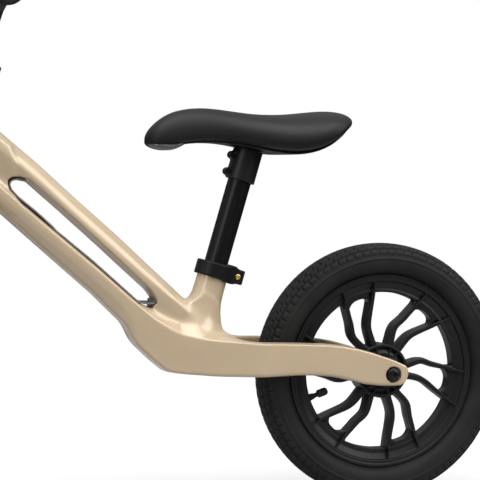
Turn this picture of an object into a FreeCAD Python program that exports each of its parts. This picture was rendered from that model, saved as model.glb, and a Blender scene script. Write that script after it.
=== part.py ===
import FreeCAD, Part
import math
import os
import Sketcher

# Child's balance bike, 12 inch wheels.  Millimetres, +Z up, front toward -X.
# The ground point midway between the wheels is the origin.

os.makedirs("parts", exist_ok=True)
doc = FreeCAD.newDocument("balance_bike")
V = FreeCAD.Vector

sheet = doc.addObject("Spreadsheet::Sheet", "Sizes")
SIZES = [
    ("wheelbase", "580"),
    ("tyre_diameter", "282"),
    ("tyre_width", "42"),
    ("tyre_height", "34"),
    ("rim_width", "26"),
    ("head_angle", "71"),
    ("fork_offset", "18"),
    ("head_tube_length", "114"),
    ("steerer_diameter", "28.6"),
    ("bar_diameter", "22.2"),
    ("bar_width", "400"),
    ("bar_rise", "93"),
    ("grip_length", "112"),
    ("seat_angle", "73.3"),
    ("post_diameter", "25.4"),
    ("seat_tube_wall", "3.55"),
    ("saddle_length", "226"),
    ("saddle_width", "140"),
    ("beam_width", "40"),
    ("fork_gap", "70"),
    ("dropout_thickness", "11"),
    ("axle_diameter", "12"),
    ("bearing_diameter", "28"),
    ("bearing_width", "8"),
    ("hub_width", "54"),
    ("hub_diameter", "60"),
    ("spoke_width", "6.5"),
    ("spoke_depth", "18"),
    ("bolt_diameter", "8"),
    ("valve_angle", "199"),
    ("trim_thickness", "3"),
    ("running_gap", "0.05"),
]
DERIVED = [
    ("tyre_radius", "=tyre_diameter / 2"),
    ("rear_place", "=wheelbase / 2"),
    ("front_place", "=-wheelbase / 2"),
    ("lip_radius", "=tyre_radius - tyre_height"),
    ("steer_place", "=front_place + fork_offset * sin(head_angle)"),
    ("steer_height", "=tyre_radius - fork_offset * cos(head_angle)"),
    ("steer_tilt", "=90 - head_angle"),
    ("seat_tilt", "=90 - seat_angle"),
    ("frame_stretch", "=(wheelbase - 17 - tyre_radius) / 422"),
    ("wheel_scale", "=tyre_radius / 141"),
    ("head_lift", "=(tyre_radius - 141) * sin(head_angle)"),
    ("crown_low", "=tyre_radius + 31"),
    ("crown_high", "=crown_low + 46.5"),
    ("head_low", "=crown_high + 3.5"),
    ("head_high", "=head_low + head_tube_length"),
    ("steerer_high", "=head_high + 25"),
    ("bar_height", "=head_high + bar_rise"),
    ("steerer_radius", "=steerer_diameter / 2"),
    ("stem_radius", "=bar_diameter / 2"),
    ("post_radius", "=post_diameter / 2"),
    ("seat_bore", "=post_radius + running_gap"),
    ("seat_tube_radius", "=seat_bore + seat_tube_wall"),
    ("headset_bore", "=steerer_radius + 0.7"),
    ("headset_pitch", "=steerer_radius + 3.45"),
    ("headset_outside", "=steerer_radius + 6.2"),
    ("head_tube_radius", "=headset_outside + 2.5"),
    ("axle_radius", "=axle_diameter / 2"),
    ("bearing_radius", "=bearing_diameter / 2"),
    ("race_pitch", "=(axle_radius + bearing_radius) / 2"),
    ("ball_radius", "=(bearing_radius - axle_radius) * 0.2975"),
    ("groove_radius", "=ball_radius + 0.07"),
    ("race_step", "=(bearing_radius - axle_radius) * 0.175"),
    ("hub_half", "=hub_width / 2"),
    ("hub_radius", "=hub_diameter / 2"),
    ("bearing_inside", "=hub_half - bearing_width"),
    ("bearing_middle", "=hub_half - bearing_width / 2"),
    ("gap_half", "=fork_gap / 2"),
    ("outer_half", "=gap_half + dropout_thickness"),
    ("bolt_radius", "=bolt_diameter / 2"),
    ("rim_half", "=rim_width / 2"),
    ("saddle_stretch", "=saddle_length / 226"),
    ("saddle_spread", "=saddle_width / 140"),
]
for row, (alias, text) in enumerate(SIZES + DERIVED, start=1):
    sheet.set("A%d" % row, alias.replace("_", " "))
    sheet.set("B%d" % row, text)
    sheet.setAlias("B%d" % row, alias)
    if row == len(SIZES):
        doc.recompute()
doc.recompute()

NAMES = [alias for alias, text in SIZES + DERIVED]
PARTS = []


def bound(text):
    # writes the sheet's name before every size used in a formula
    words = []
    word = ""
    for letter in str(text) + " ":
        if letter.isalpha() or letter == "_" or (word and letter.isdigit()):
            word += letter
            continue
        if word:
            words.append("Sizes." + word if word in NAMES else word)
            word = ""
        words.append(letter)
    return "".join(words).strip()


def number(text):
    value = sheet.evalExpression(bound(text))
    return float(getattr(value, "Value", value))


def bind(item, prop, text):
    item.setExpression(prop, bound(text))


def place(item, x="0", z="0", tilt=None, y="0"):
    turn = number(tilt) if tilt else 0
    base = V(number(x), number(y), number(z))
    item.Placement = FreeCAD.Placement(base, FreeCAD.Rotation(V(0, 1, 0), turn))
    bind(item, "Placement.Base.x", x)
    bind(item, "Placement.Base.z", z)
    if str(y) != "0":
        bind(item, "Placement.Base.y", y)
    if tilt:
        bind(item, "Placement.Rotation.Angle", tilt)


def draw(sketch, loops):
    # closed outlines whose corners are pairs of formulas
    for loop in loops:
        start = sketch.GeometryCount
        spots = [V(number(u), number(v), 0) for u, v in loop]
        count = len(spots)
        lines = [Part.LineSegment(spots[i], spots[(i + 1) % count]) for i in range(count)]
        sketch.addGeometry(lines, False)
        for i in range(count):
            sketch.addConstraint(
                Sketcher.Constraint("Coincident", start + i, 2, start + (i + 1) % count, 1))
        for i, (u, v) in enumerate(loop):
            for kind, value, text, line in (
                    ("DistanceX", spots[i].x, u, -2), ("DistanceY", spots[i].y, v, -1)):
                if abs(value) < 1e-9:
                    sketch.addConstraint(
                        Sketcher.Constraint("PointOnObject", start + i, 1, line))
                    continue
                at = sketch.addConstraint(
                    Sketcher.Constraint(kind, -1, 1, start + i, 1, value))
                bind(sketch, "Constraints[%d]" % at, text)


def mirrored(half):
    # adds the same corners on the other side of the first axis value zero
    other = []
    for u, v in reversed(half):
        if str(u) != "0":
            other.append(("-(" + str(u) + ")", v))
    return list(half) + other


def body(label):
    item = doc.addObject("PartDesign::Body", label)
    item.Label = label
    item.AllowCompound = True
    PARTS.append(item)
    return item


def plane(owner, role):
    return [face for face in owner.Origin.OriginFeatures if face.Role == role][0]


def turned(owner, loops, wheel=True):
    # wheel pieces turn about Y, corners (y, radius); others about Z, corners (radius, z)
    sketch = owner.newObject("Sketcher::SketchObject", owner.Name + "_profile")
    sketch.AttachmentSupport = [(plane(owner, "YZ_Plane" if wheel else "XZ_Plane"), "")]
    sketch.MapMode = "FlatFace"
    draw(sketch, loops)
    solid = owner.newObject("PartDesign::Revolution", owner.Name + "_turned")
    solid.Profile = sketch
    solid.ReferenceAxis = (sketch, ["H_Axis" if wheel else "V_Axis"])
    solid.Angle = 360
    return solid


def raised(owner, role, loops, length):
    sketch = owner.newObject("Sketcher::SketchObject", owner.Name + "_outline")
    sketch.AttachmentSupport = [(plane(owner, role), "")]
    sketch.MapMode = "FlatFace"
    draw(sketch, loops)
    solid = owner.newObject("PartDesign::Pad", owner.Name + "_pad")
    solid.Profile = sketch
    solid.SideType = "Symmetric"
    bind(solid, "Length", length)
    return solid


def drilled(owner, kind, sizes, base, axis, angle):
    tool = owner.newObject("PartDesign::Subtractive" + kind, owner.Name + "_" + kind)
    for prop, text in sizes.items():
        setattr(tool, prop, number(text))
        bind(tool, prop, text)
    turn = FreeCAD.Rotation(axis, number(angle))
    tool.Placement = FreeCAD.Placement(V(*[number(b) for b in base]), turn)
    for letter, text in zip("xyz", base):
        if str(text) != "0":
            bind(tool, "Placement.Base." + letter, text)
    return tool


def grooved(owner, spots, radius, wheel=True):
    # ball tracks: circles turned round the same axis as the races
    sketch = owner.newObject("Sketcher::SketchObject", owner.Name + "_tracks")
    sketch.AttachmentSupport = [(plane(owner, "YZ_Plane" if wheel else "XZ_Plane"), "")]
    sketch.MapMode = "FlatFace"
    for index, (u, v) in enumerate(spots):
        middle = V(number(u), number(v), 0)
        sketch.addGeometry(Part.Circle(middle, V(0, 0, 1), number(radius)), False)
        for kind, value, text in (("DistanceX", middle.x, u), ("DistanceY", middle.y, v)):
            at = sketch.addConstraint(Sketcher.Constraint(kind, -1, 1, index, 3, value))
            bind(sketch, "Constraints[%d]" % at, text)
        at = sketch.addConstraint(Sketcher.Constraint("Radius", index, number(radius)))
        bind(sketch, "Constraints[%d]" % at, radius)
    track = owner.newObject("PartDesign::Groove", owner.Name + "_groove")
    track.Profile = sketch
    track.ReferenceAxis = (sketch, ["H_Axis" if wheel else "V_Axis"])
    track.Angle = 360
    return track


def extruded(name, loops, role, length):
    # a level outline pushed both ways: side view (x, z), plan view (x, y) or front view (y, z)
    sketch = doc.addObject("Sketcher::SketchObject", name + "_outline")
    turns = {
        "side": FreeCAD.Rotation(V(1, 0, 0), 90),
        "plan": FreeCAD.Rotation(),
        "front": FreeCAD.Rotation(V(1, 1, 1), 120),
    }
    sketch.Placement = FreeCAD.Placement(V(0, 0, 0), turns[role])
    draw(sketch, loops)
    solid = doc.addObject("Part::Extrusion", name)
    solid.Base = sketch
    solid.DirMode = "Normal"
    solid.Symmetric = True
    solid.Solid = True
    bind(solid, "LengthFwd", length)
    return solid


def cylinder(name, radius, length, start, x="0", z="0", tilt=None, wheel=False, y="0"):
    # a rod starting at distance "start" along Z (or along Y for wheel pieces)
    rod = doc.addObject("Part::Cylinder", name)
    bind(rod, "Radius", radius)
    bind(rod, "Height", length)
    if wheel:
        rod.Placement = FreeCAD.Placement(V(0, 0, 0), FreeCAD.Rotation(V(1, 0, 0), -90))
        bind(rod, "Placement.Base.x", x)
        bind(rod, "Placement.Base.y", start)
        bind(rod, "Placement.Base.z", z)
        return rod
    lean = "(" + str(tilt) + ")" if tilt else "0"
    place(rod, "(" + x + ") + (" + start + ") * sin" + "(" + lean + ")",
          "(" + z + ") + (" + start + ") * cos" + "(" + lean + ")", tilt, y)
    return rod


def block(name, low, size, x="0", z="0", tilt=None):
    # a box given by its low corner and size, carried by a leaning frame
    box = doc.addObject("Part::Box", name)
    for prop, text in zip(("Length", "Width", "Height"), size):
        bind(box, prop, text)
    lean = "(" + str(tilt) + ")" if tilt else "0"
    place(box, "(%s) + (%s) * cos(%s) + (%s) * sin(%s)" % (x, low[0], lean, low[2], lean),
          "(%s) - (%s) * sin(%s) + (%s) * cos(%s)" % (z, low[0], lean, low[2], lean),
          tilt, low[1])
    return box


def fused(name, pieces, part=False):
    item = doc.addObject("Part::MultiFuse", name)
    item.Shapes = pieces
    if part:
        item.Label = name
        PARTS.append(item)
    return item


def common(name, pieces):
    item = doc.addObject("Part::MultiCommon", name)
    item.Shapes = pieces
    return item


def cut(name, base, tool, part=False):
    item = doc.addObject("Part::Cut", name)
    item.Base = base
    item.Tool = tool
    if part:
        item.Label = name
        PARTS.append(item)
    return item


def along(x):
    # distance ahead of (negative) or behind the rear axle, following wheelbase and wheel size
    if x <= -141:
        return "rear_place - tyre_radius + frame_stretch * (%g)" % (x + 141)
    return "rear_place + wheel_scale * (%g)" % x


def above(x, z):
    # height above the rear axle; the head end rises with the fork
    rise = min(1.0, max(0.0, (-x - 190) / 280.0))
    return "tyre_radius + (%g) + head_lift * %g" % (z, rise)


def frame_points(points):
    return [(along(x), above(x, z)) for x, z in points]


STEER = {"x": "steer_place", "z": "steer_height", "tilt": "steer_tilt"}
SEAT = {"x": along(-187), "z": above(-187, 123), "tilt": "seat_tilt"}

# ---------------------------------------------------------------- frame casting
slot_points = [
    (-413, 208), (-408, 214), (-392, 211), (-358, 181), (-315, 142), (-267, 97),
    (-257, 84), (-259, 80), (-276, 82), (-325, 126), (-367, 162), (-403, 194)]
beam = extruded("beam", [frame_points([
    (-455, 294), (-418, 263), (-379, 231), (-339, 195), (-293, 156), (-258, 118),
    (-239, 100), (-227, 89), (-212, 92), (-196, 88), (-183, 55), (-168, 44), (-168, 3),
    (-193, 2), (-227, 5), (-244, 7), (-250, 10), (-262, 20), (-277, 35), (-283, 43),
    (-288, 56), (-325, 93), (-381, 143), (-422, 180), (-470, 224)])], "side", "beam_width")
slot = extruded("slot", [frame_points(slot_points)], "side", "beam_width + 40")
stay_side = extruded("stay_side", [frame_points([
    (-262, 24), (-250, 42), (-230, 48), (-190, 47), (-159, 40), (-108, 37), (-57, 33),
    (-23, 24), (0, 16), (12, 9), (17, 0), (15, -8), (8, -13), (-3, -14), (-17, -13),
    (-34, -11), (-52, -6), (-86, 0), (-153, 3), (-193, 3), (-235, 7), (-250, 12)])],
    "side", "outer_half * 2 + 20")
stay_half = [
    (-262, "beam_width / 2"), (-230, "outer_half - 20"), (-190, "outer_half - 8"),
    (-160, "outer_half - 2"), (-140, "outer_half"), (20, "outer_half"), (20, "gap_half"),
    (-30, "gap_half"), (-45, "gap_half - 4"), (-140, "gap_half - 4"),
    (-159, "gap_half - 8"), (-167, "gap_half - 20"), (-169, "0")]
plan_points = [(along(x), y) for x, y in stay_half]
plan_points += [(along(x), "-(" + y + ")") for x, y in reversed(stay_half) if y != "0"]
stay_plan = extruded("stay_plan", [plan_points], "plan", "tyre_diameter * 2 + 400")
stays = common("stays", [stay_side, stay_plan])
beam_open = cut("beam_open", beam, slot)
seat_tube = cylinder("seat_tube", "seat_tube_radius", "60", "-61.5", **SEAT)
flare = doc.addObject("Part::Cone", "seat_flare")
bind(flare, "Radius1", "seat_tube_radius + 4")
bind(flare, "Radius2", "seat_tube_radius")
bind(flare, "Height", "24")
place(flare, "(" + SEAT["x"] + ") - 42 * sin(seat_tilt)",
      "(" + SEAT["z"] + ") - 42 * cos(seat_tilt)", "seat_tilt")
head_tube = cylinder("head_tube", "head_tube_radius", "head_tube_length", "head_low", **STEER)
solid_frame = fused("solid_frame", [beam_open, stays, seat_tube, flare, head_tube])
frame_cuts = fused("frame_cuts", [
    cylinder("seat_hole", "seat_bore", "140", "-112", **SEAT),
    block("seat_slit", ("0", "-1.25", "-26"), ("seat_tube_radius + 6", "2.5", "40"), **SEAT),
    cylinder("steer_hole", "headset_outside - 3", "head_tube_length + 20",
             "head_low - 10", **STEER),
    cylinder("low_seat", "headset_outside + 0.05", "27.5", "head_low - 20", **STEER),
    cylinder("high_seat", "headset_outside + 0.05", "27.5", "head_high - 7.5", **STEER),
    cylinder("rear_bolt_hole", "bolt_radius + 0.15", "outer_half * 2 + 20",
             "-outer_half - 10", "rear_place", "tyre_radius", wheel=True),
    cylinder("rear_left_face", "bolt_radius + 4.75", "20", "-outer_half - 17",
             "rear_place", "tyre_radius", wheel=True),
    cylinder("rear_right_face", "bolt_radius + 4.75", "20", "outer_half - 3",
             "rear_place", "tyre_radius", wheel=True)])
frame = cut("frame", solid_frame, frame_cuts, part=True)

# trim strip lying in the slot along its lower side and both ends
strip_path = [(-409.5, 211.5), (-413, 208), (-403, 194), (-367, 162), (-325, 126), (-276, 82),
              (-259, 80), (-257.2, 83.5)]


def offset(path, i):
    # unit bisector toward the inside of the slot
    before = path[max(i - 1, 0)]
    after = path[min(i + 1, len(path) - 1)]
    here = path[i]
    normals = []
    for p, q in ((before, here), (here, after)):
        run = math.hypot(q[0] - p[0], q[1] - p[1])
        if run > 0:
            normals.append(((p[1] - q[1]) / run, (q[0] - p[0]) / run))
    nx = sum(n[0] for n in normals)
    nz = sum(n[1] for n in normals)
    grow = 2 / (nx * nx + nz * nz) if len(normals) == 2 else 1
    grow = min(grow, 1.2) if len(normals) == 2 else 1
    return nx * grow, nz * grow


outer_path = []
inner_path = []
for i, (x, z) in enumerate(strip_path):
    nx, nz = offset(strip_path, i)
    outer_path.append(("%s + (%g) * running_gap * 4" % (along(x), nx),
                       "%s + (%g) * running_gap * 4" % (above(x, z), nz)))
    inner_path.append(("%s + (%g) * trim_thickness" % (along(x), nx),
                       "%s + (%g) * trim_thickness" % (above(x, z), nz)))
strip = body("slot_trim")
raised(strip, "XZ_Plane", [outer_path + inner_path[::-1]], "beam_width - 14")

# ---------------------------------------------------------------- clamps
CLAMPS = [
    ("seat", "seat_tube_radius", "-16.7", "15.7", SEAT),
    ("bar", "steerer_radius", "head_high + 10", "15.7", STEER)]
for name, inner, start, tall, where in CLAMPS:
    grip = inner + " + running_gap"
    middle = "(" + start + ") + 7.7"
    ring = cylinder(name + "_ring", inner + " + 4", tall, start, **where)
    ear = block(name + "_ear", (inner, "-12", start), ("15", "24", tall), **where)
    outside = fused(name + "_outside", [ring, ear])
    across = {"x": "(%s) + (%s + 8) * cos(%s) + (%s) * sin(%s)" % (
        where["x"], inner, where["tilt"], middle, where["tilt"]),
        "z": "(%s) - (%s + 8) * sin(%s) + (%s) * cos(%s)" % (
        where["z"], inner, where["tilt"], middle, where["tilt"])}
    holes = fused(name + "_holes", [
        cylinder(name + "_hole", grip, tall + " + 10", start + " - 5", **where),
        block(name + "_gap", ("0", "-1.25", start + " - 5"), ("60", "2.5", tall + " + 10"),
              **where),
        cylinder(name + "_screw_hole", "2.6", "40", "-20", wheel=True, **across),
        cylinder(name + "_nut_hole", "3.45", "20", "-28", wheel=True, **across),
        cylinder(name + "_head_hole", "5.05", "20", "8", wheel=True, **across)])
    cut(name + "_clamp", outside, holes, part=True)
    screw = body(name + "_clamp_bolt")
    turned(screw, [[("-11", "0"), ("-11", "2.5"), ("8", "2.5"), ("8", "4.9"), ("11.6", "4.9"),
                    ("12.6", "3.8"), ("12.6", "2"), ("10", "2"), ("10", "0")]])
    place(screw, across["x"], across["z"])
    nut = body(name + "_clamp_nut")
    turned(nut, [[("-12.9", "0"), ("-12.9", "2.4"), ("-12.2", "3.4"), ("-8", "3.4"),
                  ("-8", "2.55"), ("-11.1", "2.55"), ("-11.1", "0")]])
    place(nut, across["x"], across["z"])

# ---------------------------------------------------------------- headset and steerer
LEVELS = [("head_low + 0.1", "head_low + 7.1"), ("head_high - 7.1", "head_high - 0.1")]
races = body("headset_outer_races")
turned(races, [[("headset_outside - 1.6", low), ("headset_outside", low),
                ("headset_outside", high), ("headset_outside - 1.6", high)]
               for low, high in LEVELS], wheel=False)
grooved(races, [("headset_pitch", "(" + low + ") + 3.5") for low, high in LEVELS], "2.05",
        wheel=False)
place(races, **STEER)
races = body("headset_inner_races")
turned(races, [[("headset_bore", low), ("headset_bore + 1.6", low),
                ("headset_bore + 1.6", high), ("headset_bore", high)]
               for low, high in LEVELS], wheel=False)
grooved(races, [("headset_pitch", "(" + low + ") + 3.5") for low, high in LEVELS], "2.05",
        wheel=False)
place(races, **STEER)


def balls(name, count, pitch, radius, levels, wheel, where):
    spheres = []
    for level in levels:
        for k in range(count):
            ball = doc.addObject("Part::Sphere", name + "_one")
            bind(ball, "Radius", radius)
            angle = "%g" % (360.0 / count * k)
            first = "(%s) * cos(%s)" % (pitch, angle)
            second = "(%s) * sin(%s)" % (pitch, angle)
            bind(ball, "Placement.Base.x", first)
            bind(ball, "Placement.Base.y", level if wheel else second)
            bind(ball, "Placement.Base.z", second if wheel else level)
            spheres.append(ball)
    item = fused(name, spheres, part=True)
    place(item, **where)


balls("headset_balls", 20, "headset_pitch", "2",
      ["(" + low + ") + 3.5" for low, high in LEVELS], False, STEER)
item = body("crown_race")
turned(item, [[("steerer_radius + running_gap", "crown_high"), ("steerer_radius + 3", "crown_high"),
               ("steerer_radius + 2", "head_low"), ("headset_bore - running_gap", "head_low"),
               ("headset_bore - running_gap", "head_low + 3"),
               ("steerer_radius + running_gap", "head_low + 3")]], wheel=False)
place(item, **STEER)
item = body("compression_ring")
turned(item, [[("steerer_radius + running_gap", "head_high - 4"),
               ("headset_bore - running_gap", "head_high - 4"),
               ("headset_bore - running_gap", "head_high"), ("steerer_radius + 2.4", "head_high"),
               ("steerer_radius + 2.4", "head_high + 1.5"),
               ("steerer_radius + running_gap", "head_high + 1.5")]], wheel=False)
place(item, **STEER)
item = body("headset_cover")
turned(item, [[("steerer_radius + running_gap", "head_high + 1.6"),
               ("head_tube_radius - 0.6", "head_high + 1.6"),
               ("head_tube_radius - 0.6", "head_high + 4"),
               ("steerer_radius + 4.5", "head_high + 9.9"),
               ("steerer_radius + running_gap", "head_high + 9.9")]], wheel=False)
place(item, **STEER)
item = body("steerer")
turned(item, [[("stem_radius + running_gap", "crown_low + 10"), ("steerer_radius", "crown_low + 10"),
               ("steerer_radius", "steerer_high"),
               ("stem_radius + running_gap", "steerer_high")]], wheel=False)
place(item, **STEER)

# ---------------------------------------------------------------- fork casting
fork_side = extruded("fork_side", [[
    ("-fork_offset - 15", "-6"), ("-fork_offset - 16", "5"), ("-fork_offset - 13", "30"),
    ("-20", "crown_low - 60"), ("-24", "crown_low"), ("-24", "crown_high - 12"),
    ("-20", "crown_high"), ("20", "crown_high"), ("24", "crown_high - 12"),
    ("24", "crown_low"), ("18", "crown_low - 60"), ("-fork_offset + 19", "30"),
    ("-fork_offset + 16", "5"), ("-fork_offset + 14", "-8"), ("-fork_offset", "-15"),
    ("-fork_offset - 9", "-13")]], "side", "outer_half * 2 + 20")
fork_front = extruded("fork_front", [mirrored([
    ("0", "crown_high"), ("24", "crown_high"), ("34", "crown_high - 10"),
    ("outer_half - 1", "crown_low - 5"), ("outer_half", "crown_low - 40"),
    ("outer_half", "-16"), ("gap_half", "-16"), ("gap_half", "32"), ("gap_half - 4", "44"),
    ("gap_half - 4", "crown_low - 25"), ("gap_half - 12", "crown_low - 6"),
    ("gap_half - 24", "crown_low"), ("0", "crown_low")])], "front", "fork_offset * 2 + 120")
fork_solid = common("fork_solid", [fork_side, fork_front])
fork_cuts = fused("fork_cuts", [
    cylinder("crown_hole", "steerer_radius + running_gap", "60", "crown_low + 9.95"),
    cylinder("fork_bolt_hole", "bolt_radius + 0.15", "outer_half * 2 + 20",
             "-outer_half - 10", "-fork_offset", "0", wheel=True),
    cylinder("fork_left_face", "bolt_radius + 4.75", "20", "-outer_half - 17",
             "-fork_offset", "0", wheel=True),
    cylinder("fork_right_face", "bolt_radius + 4.75", "20", "outer_half - 3",
             "-fork_offset", "0", wheel=True)])
fork = cut("fork", fork_solid, fork_cuts, part=True)
place(fork, **STEER)

# ---------------------------------------------------------------- wheels
for side in ("rear", "front"):
    where = {"x": side + "_place", "z": "tyre_radius"}

    rim = body(side + "_rim")
    turned(rim, [mirrored([
        ("0", "lip_radius - 8.5"), ("4.5", "lip_radius - 8.5"), ("6", "lip_radius - 5.5"),
        ("rim_half - 2.4", "lip_radius - 5.5"), ("rim_half - 2.4", "lip_radius"),
        ("rim_half", "lip_radius"), ("rim_half", "lip_radius - 3.5"),
        ("rim_half - 1.5", "lip_radius - 8"), ("6", "lip_radius - 11"), ("6", "lip_radius - 16"),
        ("rim_half - 2", "lip_radius - 16"), ("rim_half - 2", "lip_radius - 20.5"),
        ("0", "lip_radius - 20.5")])])
    hub = turned(rim, [[
        ("-hub_half", "bearing_radius + 0.03"), ("-hub_half", "hub_radius"),
        ("hub_half", "hub_radius"), ("hub_half", "bearing_radius + 0.03"),
        ("bearing_inside", "bearing_radius + 0.03"), ("bearing_inside", "bearing_radius - 2"),
        ("-bearing_inside", "bearing_radius - 2"),
        ("-bearing_inside", "bearing_radius + 0.03")]])
    spokes = []
    for pair in range(6):
        for lean in (-11, 11):
            turn = -12 + 60 * pair + lean
            corners = []
            for radius, way in (("hub_radius - 2", -1), ("lip_radius - 18", -1),
                                ("lip_radius - 18", 1), ("hub_radius - 2", 1)):
                corners.append((
                    "(%s) * cos(%d) - %d * spoke_width / 2 * sin(%d)" % (radius, turn, way, turn),
                    "(%s) * sin(%d) + %d * spoke_width / 2 * cos(%d)" % (radius, turn, way, turn)))
            spokes.append(corners)
    raised(rim, "XZ_Plane", spokes, "spoke_depth")
    drilled(rim, "Cylinder", {"Radius": "4.15", "Height": "24"},
            ("(lip_radius - 24) * cos(valve_angle)", "0", "(lip_radius - 24) * sin(valve_angle)"),
            V(0, 1, 0), "90 - valve_angle")
    place(rim, **where)

    tyre = body(side + "_tyre")
    outer = [("rim_half - 5.8", 5.3), ("rim_half - 2.6", 5.3), ("rim_half - 2.6", -0.3),
             ("rim_half + 0.6", -1.2), ("tyre_width * 0.44", -5.5), ("tyre_width * 0.5", -13),
             ("tyre_width * 0.49", -20), ("tyre_width * 0.436", -27),
             ("tyre_width * 0.31", -31.8), ("tyre_width * 0.155", -33.7), ("0", -34)]
    inner = [("0", -30), ("tyre_width * 0.143", -29.6), ("tyre_width * 0.274", -27.8),
             ("tyre_width * 0.371", -23.5), ("tyre_width * 0.412", -19),
             ("tyre_width * 0.419", -13.5), ("tyre_width * 0.369", -8),
             ("tyre_width * 0.274", -4.3), ("rim_half - 5", -2.5), ("rim_half - 5.8", 0)]
    right = [(y, "lip_radius + (%g) * tyre_height / 34" % -r if r < -1.5 else
              "lip_radius + (%g)" % -r) for y, r in outer + inner]
    left = [("-(" + y + ")", r) for y, r in right if y != "0"]
    # one ring round the tyre: outside from bead to bead, then back along the inside
    loop = right[:11] + [left[i] for i in range(9, -1, -1)]
    loop += [left[i] for i in range(18, 9, -1)] + [right[11]]
    loop += right[12:]
    turned(tyre, [loop])
    place(tyre, **where)

    tube = body(side + "_inner_tube")
    rows = [("0", -6.8), ("4.8", -6.8), ("6.2", -4.8), ("rim_half - 6.1", -4.8),
            ("rim_half - 6.1", 0.1), ("rim_half - 5.3", 2.9), ("tyre_width * 0.267", 4.7),
            ("tyre_width * 0.362", 8.2), ("tyre_width * 0.41", 13.5), ("tyre_width * 0.402", 18.9),
            ("tyre_width * 0.364", 23.2), ("tyre_width * 0.269", 27.4),
            ("tyre_width * 0.14", 29.2), ("0", 29.6)]
    core = [("0", -5.6), ("3.8", -5.6), ("rim_half - 7.7", -3.4), ("rim_half - 7.3", 0.6),
            ("rim_half - 6.2", 3.8), ("tyre_width * 0.245", 5.8), ("tyre_width * 0.335", 9),
            ("tyre_width * 0.38", 13.5), ("tyre_width * 0.373", 18.5), ("tyre_width * 0.34", 22.4),
            ("tyre_width * 0.252", 26.2), ("tyre_width * 0.13", 28), ("0", 28.4)]
    turned(tube, [mirrored([(y, "lip_radius + (%g) * tyre_height / 34" % r if r > 1.5 else
                             "lip_radius + (%g)" % r) for y, r in wall])
                  for wall in (rows, core)])
    place(tube, **where)

    valve = body(side + "_valve")
    turned(valve, [[("0", "lip_radius - 41"), ("2.55", "lip_radius - 41"),
                    ("2.55", "lip_radius - 28"), ("3.2", "lip_radius - 28"),
                    ("3.9", "lip_radius - 23"), ("3.9", "lip_radius - 8.4"),
                    ("4.3", "lip_radius - 8.4"), ("4.3", "lip_radius - 6.95"),
                    ("0", "lip_radius - 6.95")]], wheel=False)
    place(valve, tilt="90 - valve_angle", **where)
    cap = body(side + "_valve_cap")
    turned(cap, [[("0", "lip_radius - 43.5"), ("3.2", "lip_radius - 43.5"),
                  ("4.2", "lip_radius - 42"), ("4.2", "lip_radius - 32"),
                  ("2.65", "lip_radius - 32"), ("2.65", "lip_radius - 41.2"),
                  ("0", "lip_radius - 41.2")]], wheel=False)
    place(cap, tilt="90 - valve_angle", **where)

    def pair(loop):
        return [loop, [("-(" + y + ")", r) for y, r in loop]]

    race = body(side + "_bearing_outer_races")
    turned(race, pair([("bearing_inside", "bearing_radius - race_step * 1.857"),
                       ("hub_half", "bearing_radius - race_step * 1.857"),
                       ("hub_half", "bearing_radius"), ("bearing_inside", "bearing_radius")]))
    grooved(race, [("bearing_middle", "race_pitch"), ("-bearing_middle", "race_pitch")],
            "groove_radius")
    place(race, **where)
    race = body(side + "_bearing_inner_races")
    turned(race, pair([("bearing_inside", "axle_radius + 0.03"), ("hub_half", "axle_radius + 0.03"),
                       ("hub_half", "axle_radius + race_step * 1.857"),
                       ("bearing_inside", "axle_radius + race_step * 1.857")]))
    grooved(race, [("bearing_middle", "race_pitch"), ("-bearing_middle", "race_pitch")],
            "groove_radius")
    place(race, **where)
    balls(side + "_bearing_balls", 9, "race_pitch", "ball_radius",
          ["bearing_middle", "-bearing_middle"], True, where)
    shield = body(side + "_bearing_shields")
    turned(shield, pair([("hub_half - 0.7", "axle_radius + race_step * 1.857 + 0.08"),
                         ("hub_half - 0.2", "axle_radius + race_step * 1.857 + 0.08"),
                         ("hub_half - 0.2", "bearing_radius - race_step * 1.857 - 0.05"),
                         ("hub_half - 0.7", "bearing_radius - race_step * 1.857 - 0.05")]))
    place(shield, **where)

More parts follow.
